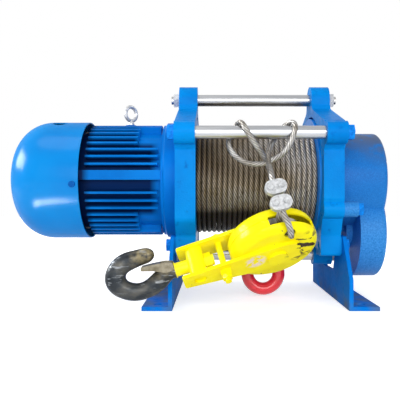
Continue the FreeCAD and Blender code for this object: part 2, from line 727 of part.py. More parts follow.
flange_x = housing_end_x - case_flange
waist_boss_x = plate_out + waist_boss_len
housing = two_lobes(upper_lobe_r, lower_lobe_r, flange_x, housing_end_x)
housing = housing.fuse(cyl_x(upper_lobe_r, plate_out, flange_x))
housing = housing.fuse(cyl_x(case_bearing_r + 7.0, lay_rear_x - 4.0, flange_x, 0.0, lay_z))
housing = housing.fuse(box(plate_out + 8.0, flange_x, -6.0, 6.0, lay_z, axis_z - upper_in))
ear = [(-waist_boss_y, waist_boss_z - waist_boss_r), (waist_boss_y, waist_boss_z - waist_boss_r),
       (waist_boss_y, waist_boss_z + waist_boss_r), (-waist_boss_y, waist_boss_z + waist_boss_r)]
housing = housing.fuse(prism_x(ear, [0, 0, 0, 0], plate_out, plate_out + waist_ear_thick))
housing_bolts = []
for side in (-1, 1):
    place = (side * waist_boss_y, axis_z + waist_boss_z)
    housing = housing.fuse(cyl_x(waist_boss_r, plate_out, waist_boss_x, *place))
    bolt = cyl_x(waist_bolt_r, plate_out - waist_bolt_reach, waist_boss_x, *place)
    head = hex_x(waist_bolt_across, waist_boss_x, waist_boss_x + waist_bolt_head, *place)
    housing_bolts.append(bolt.fuse(head).removeSplitter())
housing = housing.removeSplitter().cut(cyl_x(upper_in, plate_out, flange_x))
housing = housing.cut(cyl_x(hub_r + 2.0, flange_x, housing_end_x))
housing = housing.cut(cyl_x(case_bearing_r, lay_bearing_x[0], housing_end_x, 0.0, lay_z))
for bolt in housing_bolts:
    housing = housing.cut(bolt)
save("gear_housing", housing)
save("housing_bolts", Part.makeCompound(housing_bolts))

gasket_x = housing_end_x + gasket_thick
gasket = two_lobes(upper_lobe_r, lower_lobe_r, housing_end_x, gasket_x)
gasket = gasket.cut(two_lobes(upper_in, lower_in, housing_end_x, gasket_x))

cover = two_lobes(upper_lobe_r, lower_lobe_r, gasket_x, cover_end_x)
rim = [e for e in cover.Edges if e.BoundBox.XMin > cover_end_x - 0.01]
cover = cover.makeFillet(cover_rim_r, rim)
boss_out_x = cover_end_x + case_boss_proud
for z in (axis_z, lay_z):
    cover = cover.fuse(cyl_x(case_bearing_r + 6.0, cavity_end_x, boss_out_x, 0.0, z))
cover = cover.cut(two_lobes(upper_in, lower_in, gasket_x, cavity_end_x))
for z in (axis_z, lay_z):
    cover = cover.cut(cyl_x(case_bearing_r, *case_bearing_x, 0.0, z))

cover_screws = []
screw_places = []
for angle in (20.0, 90.0, 160.0):
    turn = math.radians(angle)
    upper_mid = upper_lobe_r - case_wall / 2 - 1.0
    lower_mid = lower_lobe_r - case_wall / 2 - 1.0
    screw_places.append((upper_mid * math.cos(turn), axis_z + upper_mid * math.sin(turn)))
    screw_places.append((lower_mid * math.cos(turn), lay_z - lower_mid * math.sin(turn)))
sunk_x = cover_end_x - cover_screw_sunk
for y, z in screw_places:
    screw = cyl_x(cover_screw_r, housing_end_x, sunk_x, y, z)
    cover = cover.cut(screw).cut(cyl_x(cover_screw_head_r, sunk_x, cover_end_x, y, z))
    gasket = gasket.cut(screw)
    head = cyl_x(cover_screw_head_r - part_gap, sunk_x, sunk_x + 3.0, y, z)
    head = head.cut(hex_x(cover_screw_head_r, sunk_x + 1.0, sunk_x + 3.0, y, z))
    cover_screws.append(screw.fuse(head).removeSplitter())
plug_z = lay_z - lower_in + 12.0
plug = cyl_x(oil_plug_r, cavity_end_x, cover_end_x, oil_plug_y, plug_z)
cover = cover.cut(plug)
plug = plug.fuse(hex_x(oil_plug_r * 2.8, cover_end_x, cover_end_x + 5.0, oil_plug_y, plug_z))
save("cover_gasket", gasket)
save("gear_cover", cover)
save("cover_screws", Part.makeCompound(cover_screws))
save("oil_plug", plug.removeSplitter())
save("pinion_bearing", ring_x(case_bearing_r, layshaft_r + run_gap, *case_bearing_x))
lay_bearings = [ring_x(case_bearing_r, layshaft_r + run_gap, *lay_bearing_x, 0.0, lay_z),
                ring_x(case_bearing_r, layshaft_r + run_gap, *case_bearing_x, 0.0, lay_z)]
save("layshaft_bearings", Part.makeCompound(lay_bearings))

# Hook block: built flat in its own frame, then set in place hanging from the rope's eye
through = block_through.normalize()
along = (block_rise - through * block_rise.dot(through)).normalize()
across = through.cross(along)


def hung(shape):
    """A shape from the block's own frame to its place in front of the drum."""
    matrix = FreeCAD.Matrix(along.x, across.x, through.x, block_centre.x,
                            along.y, across.y, through.y, block_centre.y,
                            along.z, across.z, through.z, block_centre.z, 0, 0, 0, 1)
    copy = shape.copy()
    copy.Placement = FreeCAD.Placement(matrix).multiply(copy.Placement)
    return copy


def disc(radius, c0, c1, a=0.0, b=0.0):
    """A cylinder along the sheave axis."""
    return Part.makeCylinder(radius, c1 - c0, Vector(a, b, c0))


def hex_c(across_flats, c0, c1, a, b):
    """A hexagonal prism along the sheave axis."""
    radius = across_flats / math.sqrt(3)
    points = []
    for i in range(7):
        angle = math.radians(60 * i + 30)
        points.append(Vector(a + radius * math.cos(angle), b + radius * math.sin(angle), c0))
    return Part.Face(Part.makePolygon(points)).extrude(Vector(0, 0, c1 - c0))


def spun(edges):
    """Edges in the (r, c) plane turned about the sheave axis."""
    face = Part.Face(Part.Wire([edge.toShape() for edge in edges]))
    return face.revolve(Vector(0, 0, 0), Vector(0, 0, 1), 360)


# Guards: two pressed dishes round the sheave, open on one side where the rope enters
def guard(near):
    """One dish, with the rope slot in its rim and, on the near one, the becket hole."""
    bend_r = guard_r - guard_corner_r
    bend_c = guard_depth - guard_corner_r
    in_r = guard_corner_r - guard_wall
    s45 = math.sqrt(0.5)
    rim_c = guard_gap / 2
    face_c = guard_depth - guard_wall
    edges = [
        Part.LineSegment(Vector(guard_r, 0, rim_c), Vector(guard_r, 0, bend_c)),
        Part.Arc(Vector(guard_r, 0, bend_c),
                 Vector(bend_r + guard_corner_r * s45, 0, bend_c + guard_corner_r * s45),
                 Vector(bend_r, 0, guard_depth)),
        Part.LineSegment(Vector(bend_r, 0, guard_depth), Vector(sheave_pin_r, 0, guard_depth)),
        Part.LineSegment(Vector(sheave_pin_r, 0, guard_depth), Vector(sheave_pin_r, 0, face_c)),
        Part.LineSegment(Vector(sheave_pin_r, 0, face_c), Vector(bend_r, 0, face_c)),
        Part.Arc(Vector(bend_r, 0, face_c),
                 Vector(bend_r + in_r * s45, 0, bend_c + in_r * s45),
                 Vector(bend_r + in_r, 0, bend_c)),
        Part.LineSegment(Vector(bend_r + in_r, 0, bend_c), Vector(guard_r - guard_wall, 0, rim_c)),
        Part.LineSegment(Vector(guard_r - guard_wall, 0, rim_c), Vector(guard_r, 0, rim_c)),
    ]
    dish = spun(edges)
    depth = slot_near if near else slot_far
    start = -slot_start_deg - slot_span_deg if not near else slot_start_deg
    opening = Part.makeCylinder(guard_r + 1, depth, Vector(0, 0, 0), Vector(0, 0, 1), slot_span_deg)
    opening = opening.cut(disc(bend_r, 0, depth))
    opening.rotate(Vector(0, 0, 0), Vector(0, 0, 1), start)
    dish = dish.cut(opening)
    if near:
        becket_r = guard_r - becket_inset
        becket_a = becket_r * math.cos(math.radians(becket_deg))
        becket_b = becket_r * math.sin(math.radians(becket_deg))
        return dish.cut(disc(becket_hole_r, bend_c, guard_depth, becket_a, becket_b))
    return turned_over(dish)


def turned_over(shape):
    """The same piece on the far side of the block, half a turn about its length."""
    copy = shape.copy()
    copy.rotate(Vector(0, 0, 0), Vector(1, 0, 0), 180)
    return copy


save("near_guard", hung(guard(True)))
save("far_guard", hung(guard(False)))

# Sheave: a grooved wheel that runs on the pin
groove_r = rope_d * 0.56
hub_c = sheave_half + sheave_hub_proud
web_c = sheave_half - sheave_web_inset
rim_r = sheave_r - sheave_rim_depth
groove_edge_r = sheave_r - 5
half_profile = [
    (sheave_pin_r + run_gap, hub_c), (sheave_hub_r, hub_c), (sheave_hub_r + 2, web_c), (rim_r - 2, web_c),
    (rim_r, sheave_half), (sheave_r, sheave_half), (groove_edge_r, groove_r),
]
upper_points = [Vector(r, 0, c) for r, c in half_profile]
lower_points = [Vector(r, 0, -c) for r, c in half_profile]
sheave_edges = [Part.LineSegment(lower_points[0], upper_points[0])]
sheave_edges += [Part.LineSegment(a, b) for a, b in zip(upper_points, upper_points[1:])]
sheave_edges.append(Part.Arc(upper_points[-1], Vector(groove_edge_r - groove_r, 0, 0), lower_points[-1]))
sheave_edges += [Part.LineSegment(b, a) for a, b in reversed(list(zip(lower_points, lower_points[1:])))]
save("sheave", hung(spun(sheave_edges)))

# Straps: flat bars outside the guards, from the sheave pin to the crosshead
strap_half = [(strap_end_a, strap_end_half), (0, strap_pin_half), (strap_tip_a, strap_pin_half - 4)]
strap_points = [Vector(a, -b, guard_depth) for a, b in strap_half]
strap_points += [Vector(a, b, guard_depth) for a, b in reversed(strap_half)]
strap = corner_face(strap_points, [4, 20, 14, 14, 20, 4]).extrude(Vector(0, 0, strap_thick))
strap_out = guard_depth + strap_thick
strap = strap.cut(disc(sheave_pin_r, guard_depth, strap_out))
strap = strap.cut(disc(trunnion_r, guard_depth, strap_out, crosshead_a))
near_strap = strap.cut(disc(strap_bolt_r, guard_depth, strap_out, strap_bolt_a, strap_bolt_b))
far_strap = strap.cut(disc(strap_bolt_r, guard_depth, strap_out, strap_bolt_a, -strap_bolt_b))
save("near_strap", hung(near_strap))
save("far_strap", hung(turned_over(far_strap)))

pin = disc(sheave_pin_r, -strap_out, strap_out)
pin = pin.fuse(disc(pin_head_r, -strap_out - pin_head, -strap_out))
pin = pin.fuse(disc(pin_head_r, strap_out, strap_out + pin_head))
save("sheave_pin", hung(pin.removeSplitter()))

bolt_place = (strap_bolt_a, strap_bolt_b)
lock_nut_c = strap_out + strap_nut_thick
strap_bolt = disc(strap_bolt_r, -strap_out, strap_out + strap_bolt_tail, *bolt_place)
strap_bolt = strap_bolt.fuse(hex_c(strap_nut_across, -strap_out - strap_nut_thick, -strap_out, *bolt_place))
strap_bolt = strap_bolt.fuse(hex_c(strap_nut_across, strap_out, lock_nut_c, *bolt_place))
strap_bolt = strap_bolt.fuse(hex_c(lock_nut_across, lock_nut_c, lock_nut_c + lock_nut_thick, *bolt_place))
save("strap_bolt", hung(strap_bolt.removeSplitter()))


# Crosshead: a round bar between the straps, flat where the hook's collar and nut bear on it
def bar_a(radius, a0, a1):
    """A cylinder along the block's length."""
    return Part.makeCylinder(radius, a1 - a0, Vector(a0, 0, 0), Vector(1, 0, 0))


flat_a0 = crosshead_a - crosshead_len / 2
flat_a1 = crosshead_a + crosshead_len / 2
crosshead = disc(crosshead_r, -guard_depth, guard_depth, crosshead_a)
crosshead = crosshead.common(box(flat_a0, flat_a1, -crosshead_r, crosshead_r, -guard_depth, guard_depth))
trunnion_end = strap_out - trunnion_sunk
crosshead = crosshead.fuse(disc(trunnion_r, -trunnion_end, trunnion_end, crosshead_a))
crosshead = crosshead.cut(bar_a(shank_r + run_gap, flat_a0, flat_a1))
save("crosshead", hung(crosshead.removeSplitter()))

# Hook: shank and collar, then a forged bowl lofted through round sections, in shares of its size.
# Its own plane faces the front: "back" runs away from the block, "up" stays upright.
up = (Vector(0, 0, 1) - along * along.z).normalize()
hook_side = along.cross(up)
hook_neck_a = flat_a0 - hook_neck_gap
hook_stations = [
    (0, 0, 0.12), (0.165, -0.025, 0.125), (0.34, -0.117, 0.133), (0.585, -0.156, 0.125),
    (0.79, -0.06, 0.135), (0.86, 0.12, 0.15), (0.74, 0.267, 0.138), (0.57, 0.31, 0.13),
    (0.41, 0.316, 0.116), (0.295, 0.318, 0.092), (0.255, 0.32, 0.06), (0.238, 0.32, 0.03),
]


def hook_point(back, rise):
    """A point in the plane of the hook."""
    return block_centre + along * (hook_neck_a - back * hook_size) + up * (rise * hook_size)


def hook_section(index):
    """An ellipse across the hook's centre line."""
    back, rise, half = hook_stations[index]
    before = hook_stations[max(index - 1, 0)]
    after = hook_stations[min(index + 1, len(hook_stations) - 1)]
    run = hook_point(after[0], after[1]) - hook_point(before[0], before[1])
    if index == 0:
        run = along * -1
    wide = run.normalize().cross(hook_side).normalize() * (half * hook_size)
    centre = hook_point(back, rise)
    thick = hook_side * (half * hook_size * hook_flatness)
    ellipse = Part.Ellipse(centre + wide, centre + thick, centre)
    return Part.Wire([ellipse.toShape()])


bowl = Part.makeLoft([hook_section(i) for i in range(len(hook_stations))], True, False)
collar = bar_a(hook_collar_r, hook_neck_a, flat_a0 - part_gap)
shank = bar_a(shank_r, hook_neck_a, flat_a1 + hook_nut_len + 4)
hook = bowl.fuse(hung(collar.fuse(shank).removeSplitter()))
latch_pivot = hook_point(0.084, 0.08)
latch_bore = latch_pivot - hook_side * (hook_size / 2)
hook = hook.cut(Part.makeCylinder(latch_pin_r + run_gap, hook_size, latch_bore, hook_side))
save("hook", hook)

nut_a = flat_a1 + part_gap
nut_points = []
for i in range(7):
    angle = math.radians(60 * i)
    nut_points.append(Vector(nut_a, hook_nut_r * math.cos(angle), hook_nut_r * math.sin(angle)))
hook_nut = Part.Face(Part.makePolygon(nut_points)).extrude(Vector(hook_nut_len, 0, 0))
save("hook_nut", hung(hook_nut.cut(bar_a(shank_r, nut_a, nut_a + hook_nut_len))))


# Safety latch: two ears on the hook's neck, a web under its tip, and the pin they turn on
def latch_slice(outline, side0, side1):
    """An outline in the plane of the hook, drawn out across it."""
    points = [hook_point(back, rise) + hook_side * side0 for back, rise in outline]
    return corner_face(points, [1.0] * len(points)).extrude(hook_side * (side1 - side0))


latch_half = latch_width / 2
latch_ear = [(0.015, 0.02), (0.14, 0.01), (0.30, 0.085), (0.47, 0.13), (0.46, 0.18), (0.30, 0.175),
             (0.12, 0.16), (0.015, 0.13)]
latch_web = [(0.19, 0.13), (0.465, 0.146), (0.46, 0.18), (0.30, 0.175), (0.19, 0.166)]
latch = latch_slice(latch_ear, -latch_half, -latch_half + latch_sheet)
latch = latch.fuse(latch_slice(latch_ear, latch_half - latch_sheet, latch_half))
latch = latch.fuse(latch_slice(latch_web, -latch_half + 0.5, latch_half - 0.5))
pin_start = latch_pivot - hook_side * (latch_half + latch_pin_proud)
latch = latch.fuse(Part.makeCylinder(latch_pin_r, latch_width + 2 * latch_pin_proud, pin_start, hook_side))
save("safety_latch", latch.removeSplitter())

# Anchor eye: a thick ring on a sleeve that turns on the bottom tie rod
eye_rod_z = axis_z + bottom_rod_z
eye_centre = Vector(eye_x, bottom_rod_y, eye_rod_z - eye_ring_r - eye_drop)
anchor = Part.makeTorus(eye_ring_r, eye_bar_r, eye_centre, Vector(0, 1, 0))
eye_hub_x = (eye_x - eye_hub_len / 2, eye_x + eye_hub_len / 2)
anchor = anchor.fuse(cyl_x(eye_hub_r, *eye_hub_x, bottom_rod_y, eye_rod_z)).removeSplitter()
anchor = anchor.cut(cyl_x(rod_r + run_gap, -plate_in, plate_in, bottom_rod_y, eye_rod_z))
save("anchor_eye", anchor)

# Rope tail: off the drum, twice round the front tie rod, through the two clips and the guard's eye
rope_points = [
    (33, -44.2, 113.6), (32, -69.3, 130.5), (31, -88.8, 156.6), (21.5, -107, 187), (11.5, -122.5, 221.5),
    (-5, -137.5, 241.5), (-21, -149.5, 263), (-28, -141.5, 277.5), (-34, -124.5, 277.5), (-41, -116.5, 263),
    (-49, -124.5, 248.5), (-40.5, -128, 231), (-28.5, -131, 221.5), (-14.5, -132, 216), (5.5, -131.5, 216.5),
    (19, -132, 223), (30, -136, 228), (41, -144, 240.5), (51, -148.5, 268.5), (47, -136, 279.5),
    (37, -120, 274), (25, -117.5, 257.5), (12, -137, 240), (10, -148, 222.5), (9.5, -163, 211.5),
    (9, -183.5, 205.7), (8.5, -201.4, 195.7), (12.8, -208.7, 177.5), (18.7, -216.65, 157),
    (22.5, -221.6, 144), (29, -220, 132), (32.5, -215.5, 122), (34, -212, 116), (35, -205, 114),
    (33.5, -198.5, 117), (29.1, -197.4, 124.1), (22.3, -198.1, 129.1), (17.5, -203.5, 138.5),
    (19.6, -210.2, 147.2), (18.7, -208.65, 153.8), (12.8, -200.7, 174.3), (9.2, -195.9, 186.7),
]
bend_share = 0.45


def cord(points, radius):
    """A round cord on straight runs joined by arcs, with its length and bend radii."""
    edges = []
    bend_radii = []
    last = points[0]
    for before, corner, after in zip(points, points[1:], points[2:]):
        reach = bend_share * min((before - corner).Length, (after - corner).Length)
        start, middle, end, bend_radius = bend(before, corner, after, reach)
        edges.append(Part.LineSegment(last, start).toShape())
        edges.append(Part.Arc(start, middle, end).toShape())
        bend_radii.append(bend_radius)
        last = end
    edges.append(Part.LineSegment(last, points[-1]).toShape())
    path = Part.Wire(edges)
    section = Part.Wire([Part.Circle(points[0], points[1] - points[0], radius).toShape()])
    return path.makePipeShell([section], True, False), path.Length, bend_radii


rope, rope_length, rope_bends = cord([Vector(*point) for point in rope_points], rope_d / 2)
rope_volume = math.pi * (rope_d / 2) ** 2 * rope_length
print("rope length", round(rope_length), "tightest bend", round(min(rope_bends), 1),
      "volume ratio", round(rope.Volume / rope_volume, 3))
save("rope_hitch", rope)

# Wire rope clips: a grooved saddle on the live strand, a U-bolt round the dead one
clip_centres = [Vector(12.8, -204.7, 175.9), Vector(18.7, -212.65, 155.4)]
clip_run = (clip_centres[1] - clip_centres[0]).normalize()
clip_long = Vector(0.96, 0.10, 0.25)
clip_long = (clip_long - clip_run * clip_long.dot(clip_run)).normalize()
clip_front = clip_run.cross(clip_long)


def clip_place(shape, centre):
    """A shape from the clip's own frame (long, front, run) to its place on the rope."""
    matrix = FreeCAD.Matrix(clip_long.x, clip_front.x, clip_run.x, centre.x,
                            clip_long.y, clip_front.y, clip_run.y, centre.y,
                            clip_long.z, clip_front.z, clip_run.z, centre.z, 0, 0, 0, 1)
    copy = shape.copy()
    copy.Placement = FreeCAD.Placement(matrix).multiply(copy.Placement)
    return copy


saddle_front = clip_saddle_back + clip_thick
round_end = clip_height / 2
saddle = Part.makeBox(clip_length - clip_height, clip_thick, clip_height,
                      Vector(-clip_length / 2 + round_end, clip_saddle_back, -clip_height / 2))
for end in (-1, 1):
    place = Vector(end * (clip_length / 2 - round_end), clip_saddle_back, 0)
    saddle = saddle.fuse(Part.makeCylinder(round_end, clip_thick, place, Vector(0, 1, 0)))
saddle = saddle.removeSplitter()
groove_low = Vector(0, clip_strand_off, -clip_height / 2)
groove_cut = Part.makeCylinder(rope_d / 2 + clip_groove_gap, clip_height, groove_low)
saddle = saddle.cut(groove_cut)
bow_centre = Vector(0, -clip_strand_off, 0)
ubolt = Part.makeTorus(clip_leg_off, clip_rod_r, bow_centre, Vector(0, 0, 1), -180, 180, 180)
ubolt.rotate(bow_centre, Vector(0, 0, 1), 180)
for end in (-1, 1):
    foot_point = Vector(end * clip_leg_off, -clip_strand_off, 0)
    leg_len = saddle_front + clip_leg_out + clip_strand_off
    ubolt = ubolt.fuse(Part.makeCylinder(clip_rod_r, leg_len, foot_point, Vector(0, 1, 0)))
    saddle = saddle.cut(Part.makeCylinder(clip_rod_r, leg_len, foot_point, Vector(0, 1, 0)))
ubolt = ubolt.removeSplitter()
save("rope_clip_saddles", Part.makeCompound([clip_place(saddle, centre) for centre in clip_centres]))
save("rope_clip_ubolts", Part.makeCompound([clip_place(ubolt, centre) for centre in clip_centres]))
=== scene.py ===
import bpy
import bmesh
import math
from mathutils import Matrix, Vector


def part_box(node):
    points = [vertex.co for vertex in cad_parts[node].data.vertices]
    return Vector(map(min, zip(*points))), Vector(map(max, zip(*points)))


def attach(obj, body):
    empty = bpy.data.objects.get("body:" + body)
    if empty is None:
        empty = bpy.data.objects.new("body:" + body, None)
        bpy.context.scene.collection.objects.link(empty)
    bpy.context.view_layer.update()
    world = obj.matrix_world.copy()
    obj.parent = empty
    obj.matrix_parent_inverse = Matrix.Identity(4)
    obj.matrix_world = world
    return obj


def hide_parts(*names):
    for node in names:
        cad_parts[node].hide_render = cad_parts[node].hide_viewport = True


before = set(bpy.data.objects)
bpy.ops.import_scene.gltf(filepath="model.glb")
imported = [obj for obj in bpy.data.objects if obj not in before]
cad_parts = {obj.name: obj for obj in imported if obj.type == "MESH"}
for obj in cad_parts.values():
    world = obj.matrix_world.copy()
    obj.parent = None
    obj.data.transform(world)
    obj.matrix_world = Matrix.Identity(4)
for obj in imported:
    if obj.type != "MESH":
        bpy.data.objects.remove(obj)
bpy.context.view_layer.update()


# End plates: two sand-cast iron discs with arms and rod lugs that carry the drum between them.
# They are sprayed blue after machining, so the paint keeps the fine pimpled skin of the casting.
def finish(name, metallic=0.0, roughness=0.5, specular=0.5, coat=0.0, coat_roughness=0.1):
    """A surface with the values that are the same all over it."""
    material = bpy.data.materials.new(name)
    material.use_nodes = True
    shader = material.node_tree.nodes["Principled BSDF"]
    shader.inputs["Metallic"].default_value = metallic
    shader.inputs["Roughness"].default_value = roughness
    shader.inputs["Specular IOR Level"].default_value = specular
    shader.inputs["Coat Weight"].default_value = coat
    shader.inputs["Coat Roughness"].default_value = coat_roughness
    return material


def patches(material, scale, stretch=(1, 1, 1), detail=4.0):
    """Noise over the piece in its own metres: the factor that colours and skin are made from."""
    nodes = material.node_tree.nodes
    links = material.node_tree.links
    place = nodes.new("ShaderNodeTexCoord")
    pull = nodes.new("ShaderNodeMapping")
    pull.inputs["Scale"].default_value = stretch
    noise = nodes.new("ShaderNodeTexNoise")
    noise.inputs["Scale"].default_value = scale
    noise.inputs["Detail"].default_value = detail
    links.new(place.outputs["Object"], pull.inputs["Vector"])
    links.new(pull.outputs["Vector"], noise.inputs["Vector"])
    return noise.outputs["Fac"]


def level(material, factor, low, high):
    """The factor stretched so that it runs from 0 at low to 1 at high."""
    spread = material.node_tree.nodes.new("ShaderNodeMapRange")
    spread.inputs["From Min"].default_value = low
    spread.inputs["From Max"].default_value = high
    material.node_tree.links.new(factor, spread.inputs["Value"])
    return spread.outputs["Result"]


def shades(material, factor, steps, socket="Base Color"):
    """A colour for each level of the factor; steps are (level, colour), and a number is a grey."""
    nodes = material.node_tree.nodes
    ramp = nodes.new("ShaderNodeValToRGB")
    stops = ramp.color_ramp.elements
    while len(stops) < len(steps):
        stops.new(0.5)
    for stop, (position, colour) in zip(stops, steps):
        stop.position = position
        stop.color = (colour, colour, colour, 1) if isinstance(colour, float) else (*colour, 1)
    links = material.node_tree.links
    links.new(factor, ramp.inputs["Fac"])
    links.new(ramp.outputs["Color"], nodes["Principled BSDF"].inputs[socket])


def stain(material, factor, colour):
    """Lays a second colour over the base colour where the factor is high."""
    nodes = material.node_tree.nodes
    links = material.node_tree.links
    base = nodes["Principled BSDF"].inputs["Base Color"]
    mix = nodes.new("ShaderNodeMix")
    mix.data_type = "RGBA"
    share, under, over, mixed = mix.inputs[0], mix.inputs[6], mix.inputs[7], mix.outputs[2]
    over.default_value = (*colour, 1)
    links.new(factor, share)
    links.new(base.links[0].from_socket, under)
    links.new(mixed, base)


def skin(material, factor, height, strength=1.0):
    """Raises the surface by the factor, height in metres."""
    nodes = material.node_tree.nodes
    links = material.node_tree.links
    bump = nodes.new("ShaderNodeBump")
    bump.inputs["Strength"].default_value = strength
    bump.inputs["Distance"].default_value = height
    links.new(factor, bump.inputs["Height"])
    links.new(bump.outputs["Normal"], nodes["Principled BSDF"].inputs["Normal"])


def dress(material, *names):
    """Gives CAD pieces a finish."""
    for name in names:
        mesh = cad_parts[name].data
        mesh.materials.clear()
        mesh.materials.append(material)


plate_paint = finish("plate_paint", specular=0.03)
plate_paint_tones = [(0.3, (0.0005, 0.17, 0.56)), (0.66, (0.001, 0.24, 0.69))]
shades(plate_paint, patches(plate_paint, scale=14), plate_paint_tones)
plate_paint_marks = level(plate_paint, patches(plate_paint, scale=70, detail=9.0), low=0.60, high=0.78)
stain(plate_paint, plate_paint_marks, colour=(0.001, 0.11, 0.44))
plate_paint_sheen = [(0.3, 0.27), (0.7, 0.44)]
shades(plate_paint, patches(plate_paint, scale=110), plate_paint_sheen, "Roughness")
skin(plate_paint, patches(plate_paint, scale=420), height=0.0007, strength=0.4)
dress(plate_paint, "gear_end_plate", "motor_end_plate")

# Tie rods: four bright drawn bars that hold the end plates apart, with zinc nuts and painted bolts.
# The bars are only oiled, so they show long draw lines and a few faint stains.
rod_steel = finish("rod_steel", metallic=1.0)
rod_steel_tones = [(0.3, (0.33, 0.34, 0.36)), (0.62, (0.46, 0.47, 0.49))]
shades(rod_steel, patches(rod_steel, scale=24, stretch=(0.3, 6, 6)), rod_steel_tones)
rod_stains = patches(rod_steel, scale=55, stretch=(0.25, 1, 1), detail=8.0)
rod_steel_marks = level(rod_steel, rod_stains, low=0.66, high=0.78)
stain(rod_steel, rod_steel_marks, colour=(0.34, 0.31, 0.28))
rod_steel_sheen = [(0.3, 0.20), (0.7, 0.36)]
shades(rod_steel, patches(rod_steel, scale=90, stretch=(0.1, 6, 6)), rod_steel_sheen, "Roughness")
dress(rod_steel, "top_tie_rod", "front_tie_rod", "back_tie_rod", "bottom_tie_rod")

zinc = finish("zinc", metallic=0.55)
zinc_tones = [(0.3, (0.42, 0.43, 0.45)), (0.68, (0.62, 0.63, 0.65))]
shades(zinc, patches(zinc, scale=160), zinc_tones)
zinc_sheen = [(0.3, 0.28), (0.7, 0.5)]
shades(zinc, patches(zinc, scale=300), zinc_sheen, "Roughness")
dress(zinc, "tie_rod_nuts")

bolt_paint = finish("bolt_paint", roughness=0.4, specular=0.12)
bolt_paint_tones = [(0.32, (0.001, 0.15, 0.56)), (0.6, (0.003, 0.25, 0.82))]
shades(bolt_paint, patches(bolt_paint, scale=220), bolt_paint_tones)
skin(bolt_paint, patches(bolt_paint, scale=600), height=0.0003, strength=0.3)
dress(bolt_paint, "tie_rod_bolts", "foot_bolts")


# Feet: two plates bent to an angle, bolted under the end plates, with floor holes in the flange.
# They are sprayed with the plates, and the paint is scuffed, with pale dust on the flange.
def joined(material, first, second, operation="MULTIPLY"):
    """Two factors worked into one, kept between 0 and 1."""
    both = material.node_tree.nodes.new("ShaderNodeMath")
    both.operation = operation
    both.use_clamp = True
    material.node_tree.links.new(first, both.inputs[0])
    material.node_tree.links.new(second, both.inputs[1])
    return both.outputs[0]


def along(material, direction, low, high):
    """A factor from 0 at low to 1 at high along a direction, in the piece's own metres."""
    nodes = material.node_tree.nodes
    place = nodes.new("ShaderNodeTexCoord")
    reach = nodes.new("ShaderNodeVectorMath")
    reach.operation = "DOT_PRODUCT"
    reach.inputs[1].default_value = direction
    material.node_tree.links.new(place.outputs["Object"], reach.inputs[0])
    return level(material, reach.outputs["Value"], low, high)


foot_paint = finish("foot_paint", specular=0.03)
foot_paint_tones = [(0.3, (0.0005, 0.14, 0.55)), (0.65, (0.001, 0.20, 0.70))]
shades(foot_paint, patches(foot_paint, scale=18), foot_paint_tones)
foot_scuffs = patches(foot_paint, scale=95, stretch=(1, 1, 0.5), detail=10.0)
foot_paint_marks = level(foot_paint, foot_scuffs, low=0.68, high=0.76)
stain(foot_paint, foot_paint_marks, colour=(0.02, 0.10, 0.30))
dust_cloud = level(foot_paint, patches(foot_paint, scale=30, detail=3.0), low=0.34, high=0.66)
near_floor = along(foot_paint, (0, 0, 1), low=0.022, high=0.006)
stain(foot_paint, joined(foot_paint, dust_cloud, near_floor), colour=(0.09, 0.16, 0.30))
foot_paint_sheen = [(0.3, 0.5), (0.7, 0.7)]
shades(foot_paint, patches(foot_paint, scale=130), foot_paint_sheen, "Roughness")
skin(foot_paint, patches(foot_paint, scale=500), height=0.0004, strength=0.3)
dress(foot_paint, "gear_side_foot", "motor_side_foot")

# Drum: a turned steel barrel with two flanges, painted blue, that turns on a bearing in each plate.
# The bearings are ground steel, shut in behind the plates.
drum_paint = finish("drum_paint", roughness=0.4, specular=0.25)
drum_paint_tones = [(0.3, (0.001, 0.14, 0.55)), (0.62, (0.003, 0.23, 0.78))]
shades(drum_paint, patches(drum_paint, scale=22), drum_paint_tones)
skin(drum_paint, patches(drum_paint, scale=350), height=0.0004, strength=0.25)
dress(drum_paint, "drum")

ground_steel = finish("ground_steel", metallic=1.0, roughness=0.25)
ground_steel_tones = [(0.3, (0.55, 0.56, 0.58)), (0.7, (0.75, 0.76, 0.78))]
shades(ground_steel, patches(ground_steel, scale=260), ground_steel_tones)
dress(ground_steel, "drum_bearing_gear_side", "drum_bearing_motor_side")

# Wound rope: a top layer of 23 turns of six-strand steel rope that covers the drum from flange to flange.
# Each turn lies square to the drum and steps over to the next at the back. Old grease has browned the
# turns by the motor, and the others are rubbed bright. Shade is painted nearly black under the turns on
# the motor's half, and dark down between the strands of every turn.
STRANDS = 6
STRAND_TOP = 1.0
STRAND_DIP = 0.60
STRAND_LOBES = [(-15, STRAND_TOP), (15, STRAND_TOP), (30, STRAND_DIP)]


def laid_rope(name, line, sides, radius, lay):
    """Six strands twisted round the line; sides gives a direction across it at each of its points."""
    rings = []
    travelled = 0.0
    mesh = bmesh.new()
    crown = mesh.verts.layers.float.new("crown")
    for index, point in enumerate(line):
        ahead = line[min(index + 1, len(line) - 1)] - line[max(index - 1, 0)]
        ahead.normalize()
        out = (sides[index] - ahead * sides[index].dot(ahead)).normalized()
        across = ahead.cross(out)
        if index:
            travelled += (point - line[index - 1]).length
        turn = -2 * math.pi * travelled / lay
        ring = []
        for strand in range(STRANDS):
            for degrees, reach in STRAND_LOBES:
                angle = turn + math.radians(360 / STRANDS * strand + degrees)
                spoke = out * math.cos(angle) + across * math.sin(angle)
                ring.append(mesh.verts.new(point + spoke * radius * reach))
                ring[-1][crown] = (reach - STRAND_DIP) / (STRAND_TOP - STRAND_DIP)
        rings.append(ring)
    count = len(rings[0])
    for first, second in zip(rings, rings[1:]):
        for k in range(count):
            mesh.faces.new((first[k], first[(k + 1) % count], second[(k + 1) % count], second[k]))
    mesh.faces.new(list(reversed(rings[0])))
    mesh.faces.new(rings[-1])
    return settle(name, mesh)


